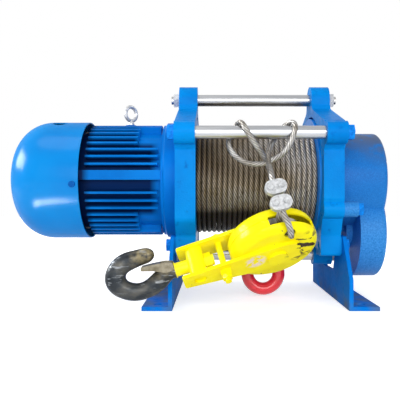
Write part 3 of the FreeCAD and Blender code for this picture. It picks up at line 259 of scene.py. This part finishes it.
def between_strands(material, low, high):
    """A factor that is 1 down between the strands and 0 on their crowns, where shade is painted."""
    crown = material.node_tree.nodes.new("ShaderNodeAttribute")
    crown.attribute_name = "crown"
    return level(material, crown.outputs["Fac"], high, low)


def settle(name, mesh, smooth=True):
    """Turns worked mesh into an object in the scene."""
    bmesh.ops.recalc_face_normals(mesh, faces=mesh.faces)
    data = bpy.data.meshes.new(name)
    mesh.to_mesh(data)
    mesh.free()
    for face in data.polygons:
        face.use_smooth = smooth
    piece = bpy.data.objects.new(name, data)
    bpy.context.scene.collection.objects.link(piece)
    return piece


drum_axis_z = 0.197
rope_lay = 0.044
turn_count = 23
turns_left = -0.097
turns_right = 0.094
turns_outer_radius = 0.0895
turn_pitch = (turns_right - turns_left) / turn_count
turn_radius = turns_outer_radius - turn_pitch / 2
turn_swell = 1.02
step_degrees = 1.5
crossing_degrees = 50
end_dip = 0.006
end_degrees = 24
turn_line = []
turn_sides = []
last_angle = 360 * turn_count - crossing_degrees
for step in range(int(last_angle / step_degrees) + 1):
    travelled_degrees = step * step_degrees
    turn, part = divmod(travelled_degrees, 360)
    over = max(0.0, (part - 360 + crossing_degrees) / crossing_degrees)
    eased = over * over * (3 - 2 * over)
    x = turns_left + turn_pitch * (turn + 0.5 + eased)
    near_end = max(0.0, 1 - min(travelled_degrees, last_angle - travelled_degrees) / end_degrees)
    angle = math.radians(90 + crossing_degrees / 2 + travelled_degrees)
    spoke = Vector((0, math.sin(angle), math.cos(angle)))
    turn_line.append(Vector((x, 0, drum_axis_z)) + spoke * (turn_radius - end_dip * near_end * near_end))
    turn_sides.append(spoke)
turns_piece = laid_rope("wound_turns", turn_line, turn_sides, turn_pitch / 2 * turn_swell, rope_lay)

greased_rope = finish("greased_rope", metallic=0.6)
motor_to_gear = along(greased_rope, (1, 0, 0), low=-0.40, high=0.36)
rubbed_patches = patches(greased_rope, scale=13, stretch=(0.6, 1, 1), detail=5.0)
rubbed_bright = joined(greased_rope, rubbed_patches, motor_to_gear)
grease_brown = (0.125, 0.088, 0.050)
dull_steel = (0.27, 0.215, 0.15)
rubbed_steel = (0.45, 0.415, 0.38)
shades(greased_rope, rubbed_bright, [(0.16, grease_brown), (0.25, dull_steel), (0.34, rubbed_steel)])
grease_spots = patches(greased_rope, scale=150, detail=7.0)
greased_rope_marks = level(greased_rope, grease_spots, low=0.56, high=0.72)
stain(greased_rope, greased_rope_marks, colour=(0.09, 0.062, 0.034))
# Painted shade: the turns are darkened nearly black underneath, on the motor's half of the drum.
painted_shade_underside = along(greased_rope, (0, 0, 1), low=0.152, high=0.142)
shaded_motor_half = along(greased_rope, (1, 0, 0), low=0.075, high=-0.01)
stain(greased_rope, joined(greased_rope, painted_shade_underside, shaded_motor_half), colour=(0.022, 0.016, 0.008))
# Painted shade: the rope is darkened nearly black down between the strands.
stain(greased_rope, between_strands(greased_rope, low=0.45, high=1.0), colour=(0.006, 0.004, 0.002))
greased_rope_sheen = [(0.3, 0.25), (0.7, 0.46)]
shades(greased_rope, patches(greased_rope, scale=400), greased_rope_sheen, "Roughness")
skin(greased_rope, patches(greased_rope, scale=1400), height=0.0004, strength=0.5)
turns_piece.data.materials.append(greased_rope)
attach(turns_piece, "drum")
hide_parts("wound_rope")


# Motor: a ribbed cast frame with a zinc lifting eye, the wound stator pressed in and the rotor on its own
# shaft. The frame is sprayed blue, with shade painted dark navy down between the ribs and nearly black
# under the cowl's rim.
def off_axis(material, keep):
    """How far a point lies from the drum's axis, counting only the directions in which keep is 1."""
    nodes = material.node_tree.nodes
    links = material.node_tree.links
    place = nodes.new("ShaderNodeTexCoord")
    flat = nodes.new("ShaderNodeVectorMath")
    flat.operation = "MULTIPLY"
    flat.inputs[1].default_value = keep
    reach = nodes.new("ShaderNodeVectorMath")
    reach.operation = "DISTANCE"
    reach.inputs[1].default_value = (0, 0, drum_axis_z)
    links.new(place.outputs["Object"], flat.inputs[0])
    links.new(flat.outputs["Vector"], reach.inputs[0])
    return reach.outputs["Value"]


rib_paint = finish("rib_paint", roughness=0.36, specular=0.03)
rib_paint_tones = [(0.3, (0.0004, 0.125, 0.47)), (0.65, (0.0008, 0.18, 0.61))]
shades(rib_paint, patches(rib_paint, scale=12), rib_paint_tones)
rib_crest = 0.0937
rib_foot = 0.0885
# Painted shade: dark navy down on the floors between the ribs.
shaded_rib_floor = level(rib_paint, off_axis(rib_paint, (0, 1, 1)), low=rib_crest, high=rib_foot)
side_ribs = level(rib_paint, off_axis(rib_paint, (0, 0, 1)), low=0.060, high=0.052)
long_ribs = joined(rib_paint, along(rib_paint, (1, 0, 0), low=-0.157, high=-0.170), side_ribs)
all_ribs = along(rib_paint, (1, 0, 0), low=-0.190, high=-0.197)
shade_among_ribs = joined(rib_paint, long_ribs, all_ribs, "MAXIMUM")
stain(rib_paint, joined(rib_paint, shaded_rib_floor, shade_among_ribs), colour=(0.0004, 0.016, 0.085))
# Painted shade: nearly black on the frame under the cowl's rim.
painted_shade_under_cowl = along(rib_paint, (1, 0, 0), low=-0.262, high=-0.274)
stain(rib_paint, painted_shade_under_cowl, colour=(0.0003, 0.008, 0.045))
skin(rib_paint, patches(rib_paint, scale=380), height=0.0004, strength=0.3)
dress(rib_paint, "motor_frame", "motor_end_shield", "rear_end_shield", "terminal_box", "terminal_lid")
dress(ground_steel, "motor_front_bearing", "motor_rear_bearing", "motor_shaft")
dress(zinc, "motor_eye_bolt")

lamination = finish("lamination", metallic=0.8, roughness=0.5)
lamination_tones = [(0.4, (0.16, 0.16, 0.17)), (0.6, (0.34, 0.34, 0.35))]
shades(lamination, patches(lamination, scale=900, stretch=(1, 0.02, 0.02)), lamination_tones)
dress(lamination, "stator_core", "rotor")

copper = finish("copper", metallic=0.9, roughness=0.35)
copper_tones = [(0.35, (0.30, 0.10, 0.03)), (0.65, (0.62, 0.25, 0.09))]
shades(copper, patches(copper, scale=700, stretch=(0.1, 1, 1)), copper_tones)
dress(copper, "stator_winding")


# Lid screws: four zinc socket screws that hold the lid of the terminal box on the back of the motor.
# They are turned, with a chamfered head and a round socket.
def fastener_head(mesh, foot, out, sides, radius, height, socket):
    """A chamfered head with a given number of sides on a foot point, with a socket in its top."""
    turn = out.to_track_quat("Z", "X").to_matrix().to_4x4()
    shoulder = height * 0.7
    top_radius = radius * 0.82
    levels = [(radius, 0.0), (radius, shoulder), (top_radius, height)]
    if socket:
        socket_floor = height * 0.45
        levels += [(socket, height), (socket, socket_floor)]
    rings = []
    for reach, rise in levels:
        ring = []
        for k in range(sides):
            angle = 2 * math.pi * (k + 0.5) / sides
            spot = turn @ Vector((reach * math.cos(angle), reach * math.sin(angle), rise))
            ring.append(mesh.verts.new(foot + spot))
        rings.append(ring)
    for first, second in zip(rings, rings[1:]):
        for k in range(sides):
            mesh.faces.new((first[k], first[(k + 1) % sides], second[(k + 1) % sides], second[k]))
    mesh.faces.new(list(reversed(rings[0])))
    mesh.faces.new(rings[-1])


lid_low, lid_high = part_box("terminal_lid")
lid_inset = 0.008
lid_head = {"sides": 24, "radius": 0.0042, "height": 0.0032, "socket": 0.0022}
lid_mesh = bmesh.new()
for x in (lid_low[0] + lid_inset, lid_high[0] - lid_inset):
    for z in (lid_low[2] + lid_inset, lid_high[2] - lid_inset):
        fastener_head(lid_mesh, Vector((x, lid_high[1], z)), Vector((0, 1, 0)), **lid_head)
lid_screws = settle("lid_screws", lid_mesh, smooth=False)
lid_screws.data.materials.append(zinc)
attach(lid_screws, "frame")

# Brake and fan: a spring brake and a moulded fan on the motor's tail shaft, both under the cowl.
# The friction disc is bonded lining, the armature and magnet are plain steel, and the cable gland is of
# the fan's black plastic.
lining = finish("lining", roughness=0.85)
lining_tones = [(0.35, (0.06, 0.05, 0.045)), (0.65, (0.14, 0.12, 0.10))]
shades(lining, patches(lining, scale=500), lining_tones)
dress(lining, "brake_disc")
dress(ground_steel, "brake_armature", "brake_magnet")

fan_plastic = finish("fan_plastic", roughness=0.5)
fan_plastic_tones = [(0.35, (0.02, 0.02, 0.022)), (0.65, (0.04, 0.04, 0.043))]
shades(fan_plastic, patches(fan_plastic, scale=400), fan_plastic_tones)
dress(fan_plastic, "cooling_fan", "cable_gland")

# Fan cowl: a pressed steel dome over the fan, held to the rear shield by three screws.
# It is stove-enamelled in the same blue, glossier than the castings, with a slight orange-peel skin. The
# screws are painted darker.
cowl_enamel = finish("cowl_enamel", specular=0.0, coat=0.25, coat_roughness=0.2)
cowl_enamel_tones = [(0.3, (0.0003, 0.185, 0.56)), (0.65, (0.0006, 0.245, 0.66))]
shades(cowl_enamel, patches(cowl_enamel, scale=9), cowl_enamel_tones)
cowl_enamel_sheen = [(0.3, 0.26), (0.7, 0.40)]
shades(cowl_enamel, patches(cowl_enamel, scale=60), cowl_enamel_sheen, "Roughness")
skin(cowl_enamel, patches(cowl_enamel, scale=160), height=0.0003, strength=0.08)
dress(cowl_enamel, "fan_cowl")

screw_paint = finish("screw_paint", roughness=0.25, specular=0.06)
screw_paint_tones = [(0.3, (0.001, 0.07, 0.31)), (0.7, (0.002, 0.11, 0.42))]
shades(screw_paint, patches(screw_paint, scale=500), screw_paint_tones)
dress(screw_paint, "cowl_screws")

# Gear train: two hobbed steel reductions from the motor pinion to the drum gear, on a short layshaft.
# The teeth run in grease inside the case.
gear_steel = finish("gear_steel", metallic=1.0, roughness=0.34)
gear_steel_tones = [(0.3, (0.32, 0.31, 0.30)), (0.7, (0.56, 0.55, 0.54))]
shades(gear_steel, patches(gear_steel, scale=220), gear_steel_tones)
dress(gear_steel, "drum_gear", "layshaft_gear", "layshaft")
dress(ground_steel, "pinion_bearing", "layshaft_bearings")

# Gear case: a two-lobed cast housing on the end plate and a cast cover, bolted round the rim.
# The castings are left rough, so the blue has a fine grain. A pale sheen is painted into its speckle low
# down and towards the front, and the top is greyer and darker in patches.
case_paint = finish("case_paint", roughness=0.44, specular=0.16)
case_grain = patches(case_paint, scale=620, detail=4.0)
case_tones = [(0.34, (0.001, 0.12, 0.42)), (0.52, (0.002, 0.145, 0.48)), (0.68, (0.006, 0.18, 0.55))]
shades(case_paint, case_grain, case_tones)
# The top of the case is greyer and darker in patches.
grey_top_patches = level(case_paint, patches(case_paint, scale=60, detail=6.0), low=0.30, high=0.50)
case_top = along(case_paint, (0.25, 0, 1), low=0.262, high=0.312)
stain(case_paint, joined(case_paint, grey_top_patches, case_top), colour=(0.06, 0.10, 0.20))
# Painted sheen: the grain's speckle is laid pale low down and towards the front.
grain_for_painted_sheen = level(case_paint, patches(case_paint, scale=420, detail=5.0), low=0.22, high=0.66)
painted_sheen_low_front = along(case_paint, (0, -0.5, -1), low=-0.16, high=-0.06)
stain(case_paint, joined(case_paint, grain_for_painted_sheen, painted_sheen_low_front), colour=(0.05, 0.29, 0.70))
skin(case_paint, case_grain, height=0.0005, strength=0.22)
dress(case_paint, "gear_housing", "gear_cover", "cover_gasket")
dress(bolt_paint, "housing_bolts", "cover_screws", "oil_plug")

# Anchor eye: a forged ring with a sleeve that hangs on the bottom rod, for hitching a doubled rope.
# It is dipped in red gloss paint.
red_gloss = finish("red_gloss", roughness=0.3, specular=0.3, coat=0.8)
red_gloss_tones = [(0.3, (0.80, 0.012, 0.024)), (0.65, (0.95, 0.028, 0.048))]
shades(red_gloss, patches(red_gloss, scale=60), red_gloss_tones)
skin(red_gloss, patches(red_gloss, scale=240), height=0.0005, strength=0.15)
dress(red_gloss, "anchor_eye")

# Rope tail: the free end of the rope, hitched twice round the front rod, led through the block's guard
# and turned back into an eye held by two clips. It is the same six-strand rope, rubbed bright, with shade
# painted dark down between the strands.
tail_points = [
    (0.033, -0.0442, 0.1136), (0.032, -0.0693, 0.1305), (0.031, -0.0888, 0.1566),
    (0.0215, -0.107, 0.187), (0.0115, -0.1225, 0.2215), (-0.005, -0.1375, 0.2415),
    (-0.021, -0.1495, 0.263), (-0.028, -0.1415, 0.2775), (-0.034, -0.1245, 0.2775),
    (-0.041, -0.1165, 0.263), (-0.049, -0.1245, 0.2485), (-0.0405, -0.128, 0.231),
    (-0.0285, -0.131, 0.2215), (-0.0145, -0.132, 0.216), (0.0055, -0.1315, 0.2165),
    (0.019, -0.132, 0.223), (0.03, -0.136, 0.228), (0.041, -0.144, 0.2405),
    (0.051, -0.1485, 0.2685), (0.047, -0.136, 0.2795), (0.037, -0.12, 0.274),
    (0.025, -0.1175, 0.2575), (0.012, -0.137, 0.24), (0.01, -0.148, 0.2225),
    (0.0095, -0.163, 0.2115), (0.009, -0.1835, 0.2057), (0.0085, -0.2014, 0.1957),
    (0.0128, -0.2087, 0.1775), (0.0187, -0.21665, 0.157), (0.0225, -0.2216, 0.144),
    (0.029, -0.22, 0.132), (0.0325, -0.2155, 0.122), (0.034, -0.212, 0.116),
    (0.035, -0.205, 0.114), (0.0335, -0.1985, 0.117), (0.0291, -0.1974, 0.1241),
    (0.0223, -0.1981, 0.1291), (0.0175, -0.2035, 0.1385), (0.0196, -0.2102, 0.1472),
    (0.0187, -0.20865, 0.1538), (0.0128, -0.2007, 0.1743), (0.0092, -0.1959, 0.1867),
]
tail_curve = bpy.data.curves.new("tail_line", "CURVE")
tail_curve.dimensions = "3D"
tail_curve.resolution_u = 10
tail_spline = tail_curve.splines.new("NURBS")
tail_spline.points.add(len(tail_points) - 1)
for control, point in zip(tail_spline.points, tail_points):
    control.co = (*point, 1)
tail_spline.order_u = 3
tail_spline.use_endpoint_u = True
tail_guide = bpy.data.objects.new("tail_line", tail_curve)
tail_mesh = bpy.data.meshes.new_from_object(tail_guide)
tail_line = [vertex.co.copy() for vertex in tail_mesh.vertices]
bpy.data.objects.remove(tail_guide)
bpy.data.meshes.remove(tail_mesh)

tail_sides = [Vector((1, 0, 0))]
for before, after in zip(tail_line, tail_line[1:]):
    ahead = (after - before).normalized()
    last = tail_sides[-1]
    tail_sides.append((last - ahead * last.dot(ahead)).normalized())
tail_diameter = 0.008
tail_piece = laid_rope("rope_tail", tail_line, tail_sides, tail_diameter / 2, rope_lay)

tail_steel = finish("tail_steel", metallic=0.75, roughness=0.36)
tail_steel_tones = [
    (0.34, (0.17, 0.145, 0.115)), (0.52, (0.36, 0.345, 0.325)), (0.66, (0.56, 0.555, 0.545)),
]
shades(tail_steel, patches(tail_steel, scale=40, detail=6.0), tail_steel_tones)
tail_steel_marks = level(tail_steel, patches(tail_steel, scale=210, detail=7.0), low=0.60, high=0.74)
stain(tail_steel, tail_steel_marks, colour=(0.10, 0.08, 0.06))
# Painted shade: the tail is darkened down between the strands.
stain(tail_steel, between_strands(tail_steel, low=0.15, high=0.90), colour=(0.03, 0.026, 0.022))
skin(tail_steel, patches(tail_steel, scale=1600), height=0.0003, strength=0.4)
tail_piece.data.materials.append(tail_steel)
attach(tail_piece, "frame")
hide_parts("rope_hitch")

# Rope clips: two cast saddles drawn on to the doubled rope by U-bolts, with a nut on each leg.
# They are zinc plated, rough from the mould, with a few dull marks.
clip_zinc = finish("clip_zinc", metallic=0.4, roughness=0.45, specular=0.3)
clip_zinc_tones = [(0.3, (0.36, 0.37, 0.38)), (0.68, (0.58, 0.59, 0.60))]
shades(clip_zinc, patches(clip_zinc, scale=240), clip_zinc_tones)
clip_zinc_marks = level(clip_zinc, patches(clip_zinc, scale=420, detail=7.0), low=0.58, high=0.72)
stain(clip_zinc, clip_zinc_marks, colour=(0.24, 0.23, 0.22))
skin(clip_zinc, patches(clip_zinc, scale=380), height=0.0006, strength=0.45)
dress(clip_zinc, "rope_clip_saddles", "rope_clip_ubolts")

clip_centres = [Vector((0.0128, -0.2047, 0.1759)), Vector((0.0187, -0.21265, 0.1554))]
clip_run = (clip_centres[1] - clip_centres[0]).normalized()
clip_across = Vector((0.96, 0.10, 0.25))
clip_across = (clip_across - clip_run * clip_across.dot(clip_run)).normalized()
clip_out = clip_run.cross(clip_across)
leg_offset = 0.0074
saddle_face = 0.015
nut_sink = 0.0004
nut_shape = {"sides": 6, "radius": 0.0052, "height": 0.0040, "socket": 0}
nut_mesh = bmesh.new()
for centre in clip_centres:
    for side in (-1, 1):
        nut_foot = centre + clip_across * (side * leg_offset) + clip_out * (saddle_face - nut_sink)
        fastener_head(nut_mesh, nut_foot, clip_out, **nut_shape)
clip_nuts = settle("clip_nuts", nut_mesh, smooth=False)
clip_nuts.data.materials.append(clip_zinc)
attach(clip_nuts, "frame")


# Hook block: two pressed guards and two flat straps round a sheave, on one pin and one through bolt.
# The steel is sprayed yellow, chipped to brown by the rope's eye and scuffed pale by the pin. The same
# dark brown marks at the near strap's end also paint the shade of the gap between the guards.
def near(material, spot, far, close):
    """A factor that is 1 within close of a spot and falls to 0 at far, in the piece's own metres."""
    nodes = material.node_tree.nodes
    place = nodes.new("ShaderNodeTexCoord")
    reach = nodes.new("ShaderNodeVectorMath")
    reach.operation = "DISTANCE"
    reach.inputs[1].default_value = spot
    material.node_tree.links.new(place.outputs["Object"], reach.inputs[0])
    return level(material, reach.outputs["Value"], far, close)


block_length = (0.962083, 0.035309, 0.270463)
block_yellow = (0.96, 0.86, 0.006)
block_paint = finish("block_paint", specular=0.03, coat=0.1)
block_paint_tones = [(0.3, (0.90, 0.76, 0.004)), (0.6, block_yellow)]
shades(block_paint, patches(block_paint, scale=30, detail=5.0), block_paint_tones)
# By the rope's eye: brown chips, and painted shade of the gap between the guards at the strap's end.
chips_and_gap_shade_spot = (0.058, -0.165, 0.100)
chip_and_shade_streaks = patches(block_paint, scale=70, stretch=(0.45, 1, 1.3), detail=8.0)
chip_and_shade_grain = level(block_paint, chip_and_shade_streaks, low=0.545, high=0.565)
chips_and_gap_shade_by_eye = near(block_paint, chips_and_gap_shade_spot, far=0.034, close=0.020)
stain(block_paint, joined(block_paint, chips_and_gap_shade_by_eye, chip_and_shade_grain), colour=(0.045, 0.024, 0.010))
block_paint_marks = level(block_paint, patches(block_paint, scale=120, detail=10.0), low=0.69, high=0.70)
stain(block_paint, block_paint_marks, colour=(0.17, 0.10, 0.04))
scuff_spot = (-0.010, -0.171, 0.077)
scuff_grain = level(block_paint, patches(block_paint, scale=120, detail=8.0), low=0.45, high=0.50)
by_the_pin = near(block_paint, scuff_spot, far=0.017, close=0.011)
stain(block_paint, joined(block_paint, by_the_pin, scuff_grain), colour=(0.80, 0.66, 0.58))
block_paint_sheen = [(0.3, 0.28), (0.7, 0.44)]
shades(block_paint, patches(block_paint, scale=80), block_paint_sheen, "Roughness")
skin(block_paint, patches(block_paint, scale=300), height=0.0005, strength=0.3)
dress(block_paint, "near_guard", "far_guard", "near_strap", "far_strap", "crosshead", "sheave_pin")
dress(block_paint, "strap_bolt", "hook_nut")
dress(gear_steel, "sheave")

# Hook: drop-forged steel with a round shank that swivels in the crosshead and is held by a nut.
# The forging scale is dark grey with bright scratches, rubbed to bronze at the tip; the collar is sprayed
# with the block.
forging = finish("forging", specular=0.25)
scale_streaks = patches(forging, scale=45, stretch=(0.6, 1, 1), detail=8.0)
forging_tones = [
    (0.32, (0.012, 0.016, 0.021)), (0.50, (0.030, 0.035, 0.040)), (0.68, (0.110, 0.106, 0.094)),
]
shades(forging, scale_streaks, forging_tones)
scratches = patches(forging, scale=150, stretch=(0.3, 1, 1.6), detail=8.0)
stain(forging, level(forging, scratches, low=0.60, high=0.68), colour=(0.21, 0.225, 0.24))
hook_tip = (-0.152, -0.157, 0.088)
by_the_tip = near(forging, hook_tip, far=0.045, close=0.016)
rubbed_grain = level(forging, patches(forging, scale=90, detail=6.0), low=0.38, high=0.60)
stain(forging, joined(forging, by_the_tip, rubbed_grain), colour=(0.25, 0.205, 0.11))
collar = along(forging, block_length, low=-0.1085, high=-0.1070)
stain(forging, collar, colour=block_yellow)
shades(forging, collar, [(0.0, 0.5), (1.0, 0.0)], "Metallic")
forging_sheen = [(0.3, 0.28), (0.7, 0.50)]
shades(forging, patches(forging, scale=110, detail=6.0), forging_sheen, "Roughness")
skin(forging, patches(forging, scale=180, detail=6.0), height=0.0012, strength=0.45)
dress(forging, "hook")

# Safety latch: a folded sheet tongue on a rivet through the hook's neck, closed by a spring.
# It is passivated steel, yellowed in patches.
passivated = finish("passivated", metallic=0.75, roughness=0.42)
passivated_tones = [(0.3, (0.09, 0.075, 0.044)), (0.65, (0.215, 0.192, 0.14))]
shades(passivated, patches(passivated, scale=120), passivated_tones)
skin(passivated, patches(passivated, scale=500), height=0.0003, strength=0.3)
dress(passivated, "safety_latch")

# Floor and studio: a wide pale sheet under the winch, a large soft lamp in front, and weaker ones above and
# at the motor's side. The sheet and the room are white to the camera and to reflections, and the sheet
# keeps the shadow. Two cards show only in reflections and give the cowl its highlights.
floor_mesh = bmesh.new()
sheet_half = 4.0
sheet_z = -0.0002
sheet_corners = [(-1, -1), (1, -1), (1, 1), (-1, 1)]
sheet_spots = [(x * sheet_half, y * sheet_half, sheet_z) for x, y in sheet_corners]
floor_mesh.faces.new([floor_mesh.verts.new(spot) for spot in sheet_spots])
floor = settle("floor", floor_mesh)
pale_sheet = finish("pale_sheet", roughness=0.9, specular=0.1)
pale_sheet.node_tree.nodes["Principled BSDF"].inputs["Base Color"].default_value = (0.86, 0.86, 0.87, 1)
floor.data.materials.append(pale_sheet)

world = bpy.data.worlds.new("studio")
bpy.context.scene.world = world
world.use_nodes = True
room = world.node_tree
room_light = room.nodes["Background"]
room_strength = 0.5
room_light.inputs["Color"].default_value = (0.96, 0.98, 1.0, 1)
room_light.inputs["Strength"].default_value = room_strength
room_white = room.nodes.new("ShaderNodeBackground")
room_white.inputs["Color"].default_value = (1, 1, 1, 1)
room_white.inputs["Strength"].default_value = 1.0


def seen_white(tree):
    """A factor that is 1 for what the camera, a reflection or a glass sees, and 0 for light itself."""
    path = tree.nodes.new("ShaderNodeLightPath")
    direct = tree.nodes.new("ShaderNodeMath")
    direct.operation = "MAXIMUM"
    through = tree.nodes.new("ShaderNodeMath")
    through.operation = "MAXIMUM"
    tree.links.new(path.outputs["Is Camera Ray"], direct.inputs[0])
    tree.links.new(path.outputs["Is Glossy Ray"], direct.inputs[1])
    tree.links.new(direct.outputs[0], through.inputs[0])
    tree.links.new(path.outputs["Is Transmission Ray"], through.inputs[1])
    return through.outputs[0]


room_choice = room.nodes.new("ShaderNodeMixShader")
room.links.new(seen_white(room), room_choice.inputs["Fac"])
room.links.new(room_light.outputs[0], room_choice.inputs[1])
room.links.new(room_white.outputs[0], room_choice.inputs[2])
room.links.new(room_choice.outputs[0], room.nodes["World Output"].inputs["Surface"])

sheet_tree = pale_sheet.node_tree
sheet_white = sheet_tree.nodes.new("ShaderNodeEmission")
sheet_place = sheet_tree.nodes.new("ShaderNodeTexCoord")
sheet_reach = sheet_tree.nodes.new("ShaderNodeVectorMath")
sheet_reach.operation = "LENGTH"
sheet_tree.links.new(sheet_place.outputs["Object"], sheet_reach.inputs[0])
shadow_reach = 0.30
white_reach = 0.75
shadow_white = 0.62
sheet_fade = sheet_tree.nodes.new("ShaderNodeMapRange")
sheet_fade.inputs["From Min"].default_value = shadow_reach
sheet_fade.inputs["From Max"].default_value = white_reach
sheet_fade.inputs["To Min"].default_value = shadow_white
sheet_fade.inputs["To Max"].default_value = 1.0
sheet_tree.links.new(sheet_reach.outputs["Value"], sheet_fade.inputs["Value"])
sheet_share = joined(pale_sheet, seen_white(sheet_tree), sheet_fade.outputs["Result"])
sheet_both = sheet_tree.nodes.new("ShaderNodeAddShader")
sheet_tree.links.new(sheet_share, sheet_white.inputs["Strength"])
sheet_tree.links.new(sheet_tree.nodes["Principled BSDF"].outputs[0], sheet_both.inputs[0])
sheet_tree.links.new(sheet_white.outputs[0], sheet_both.inputs[1])
sheet_tree.links.new(sheet_both.outputs[0], sheet_tree.nodes["Material Output"].inputs["Surface"])


def lamp(name, place, target, size, power, spread=math.pi):
    """A flat lamp turned to a target, its size in metres and its power in watts."""
    light = bpy.data.lights.new(name, "AREA")
    light.shape = "RECTANGLE"
    light.size, light.size_y = size
    light.energy = power
    light.spread = spread
    holder = bpy.data.objects.new(name, light)
    holder.location = place
    holder.rotation_euler = (Vector(target) - Vector(place)).to_track_quat("-Z", "Y").to_euler()
    bpy.context.scene.collection.objects.link(holder)
    return holder


winch_middle = (0, 0, 0.15)
motor_middle = (-0.35, 0, 0.2)
cowl_underside = (-0.33, -0.09, 0.155)
lamp("high_softbox", place=(-0.72, -0.46, 1.70), target=winch_middle, size=(0.8, 0.6), power=5)
lamp("front_softbox", place=(0.1, -1.7, 0.55), target=winch_middle, size=(1.6, 0.7), power=20)
lamp("side_softbox", place=(-1.72, -0.04, 0.76), target=motor_middle, size=(0.9, 0.40), power=14)
side_card = lamp("side_card", place=(-1.70, -0.06, 0.78), target=motor_middle, size=(0.9, 0.50), power=30)
low_card = lamp("low_card", place=(-0.417, -0.222, 0.006), target=cowl_underside, size=(0.15, 0.07),
                power=0.11, spread=math.radians(44))
for card in (low_card, side_card):
    card.visible_camera = False
    card.visible_diffuse = False

# Camera: level with the drum and a little to the motor's side, as the winch was photographed.
# It looks straight along Y, and the picture's frame is shifted a little towards the motor.
camera = bpy.data.cameras.new("camera")
picture_width = 400
focal_pixels = 519
shift_pixels = -13
camera.sensor_width = 36
camera.lens = focal_pixels / picture_width * camera.sensor_width
camera.shift_x = shift_pixels / picture_width
camera_holder = bpy.data.objects.new("camera", camera)
camera_holder.location = (-0.070, -0.900, 0.163)
camera_holder.rotation_euler = (math.pi / 2, 0, 0)
bpy.context.scene.collection.objects.link(camera_holder)
bpy.context.scene.camera = camera_holder
bpy.context.scene.view_settings.view_transform = "Standard"
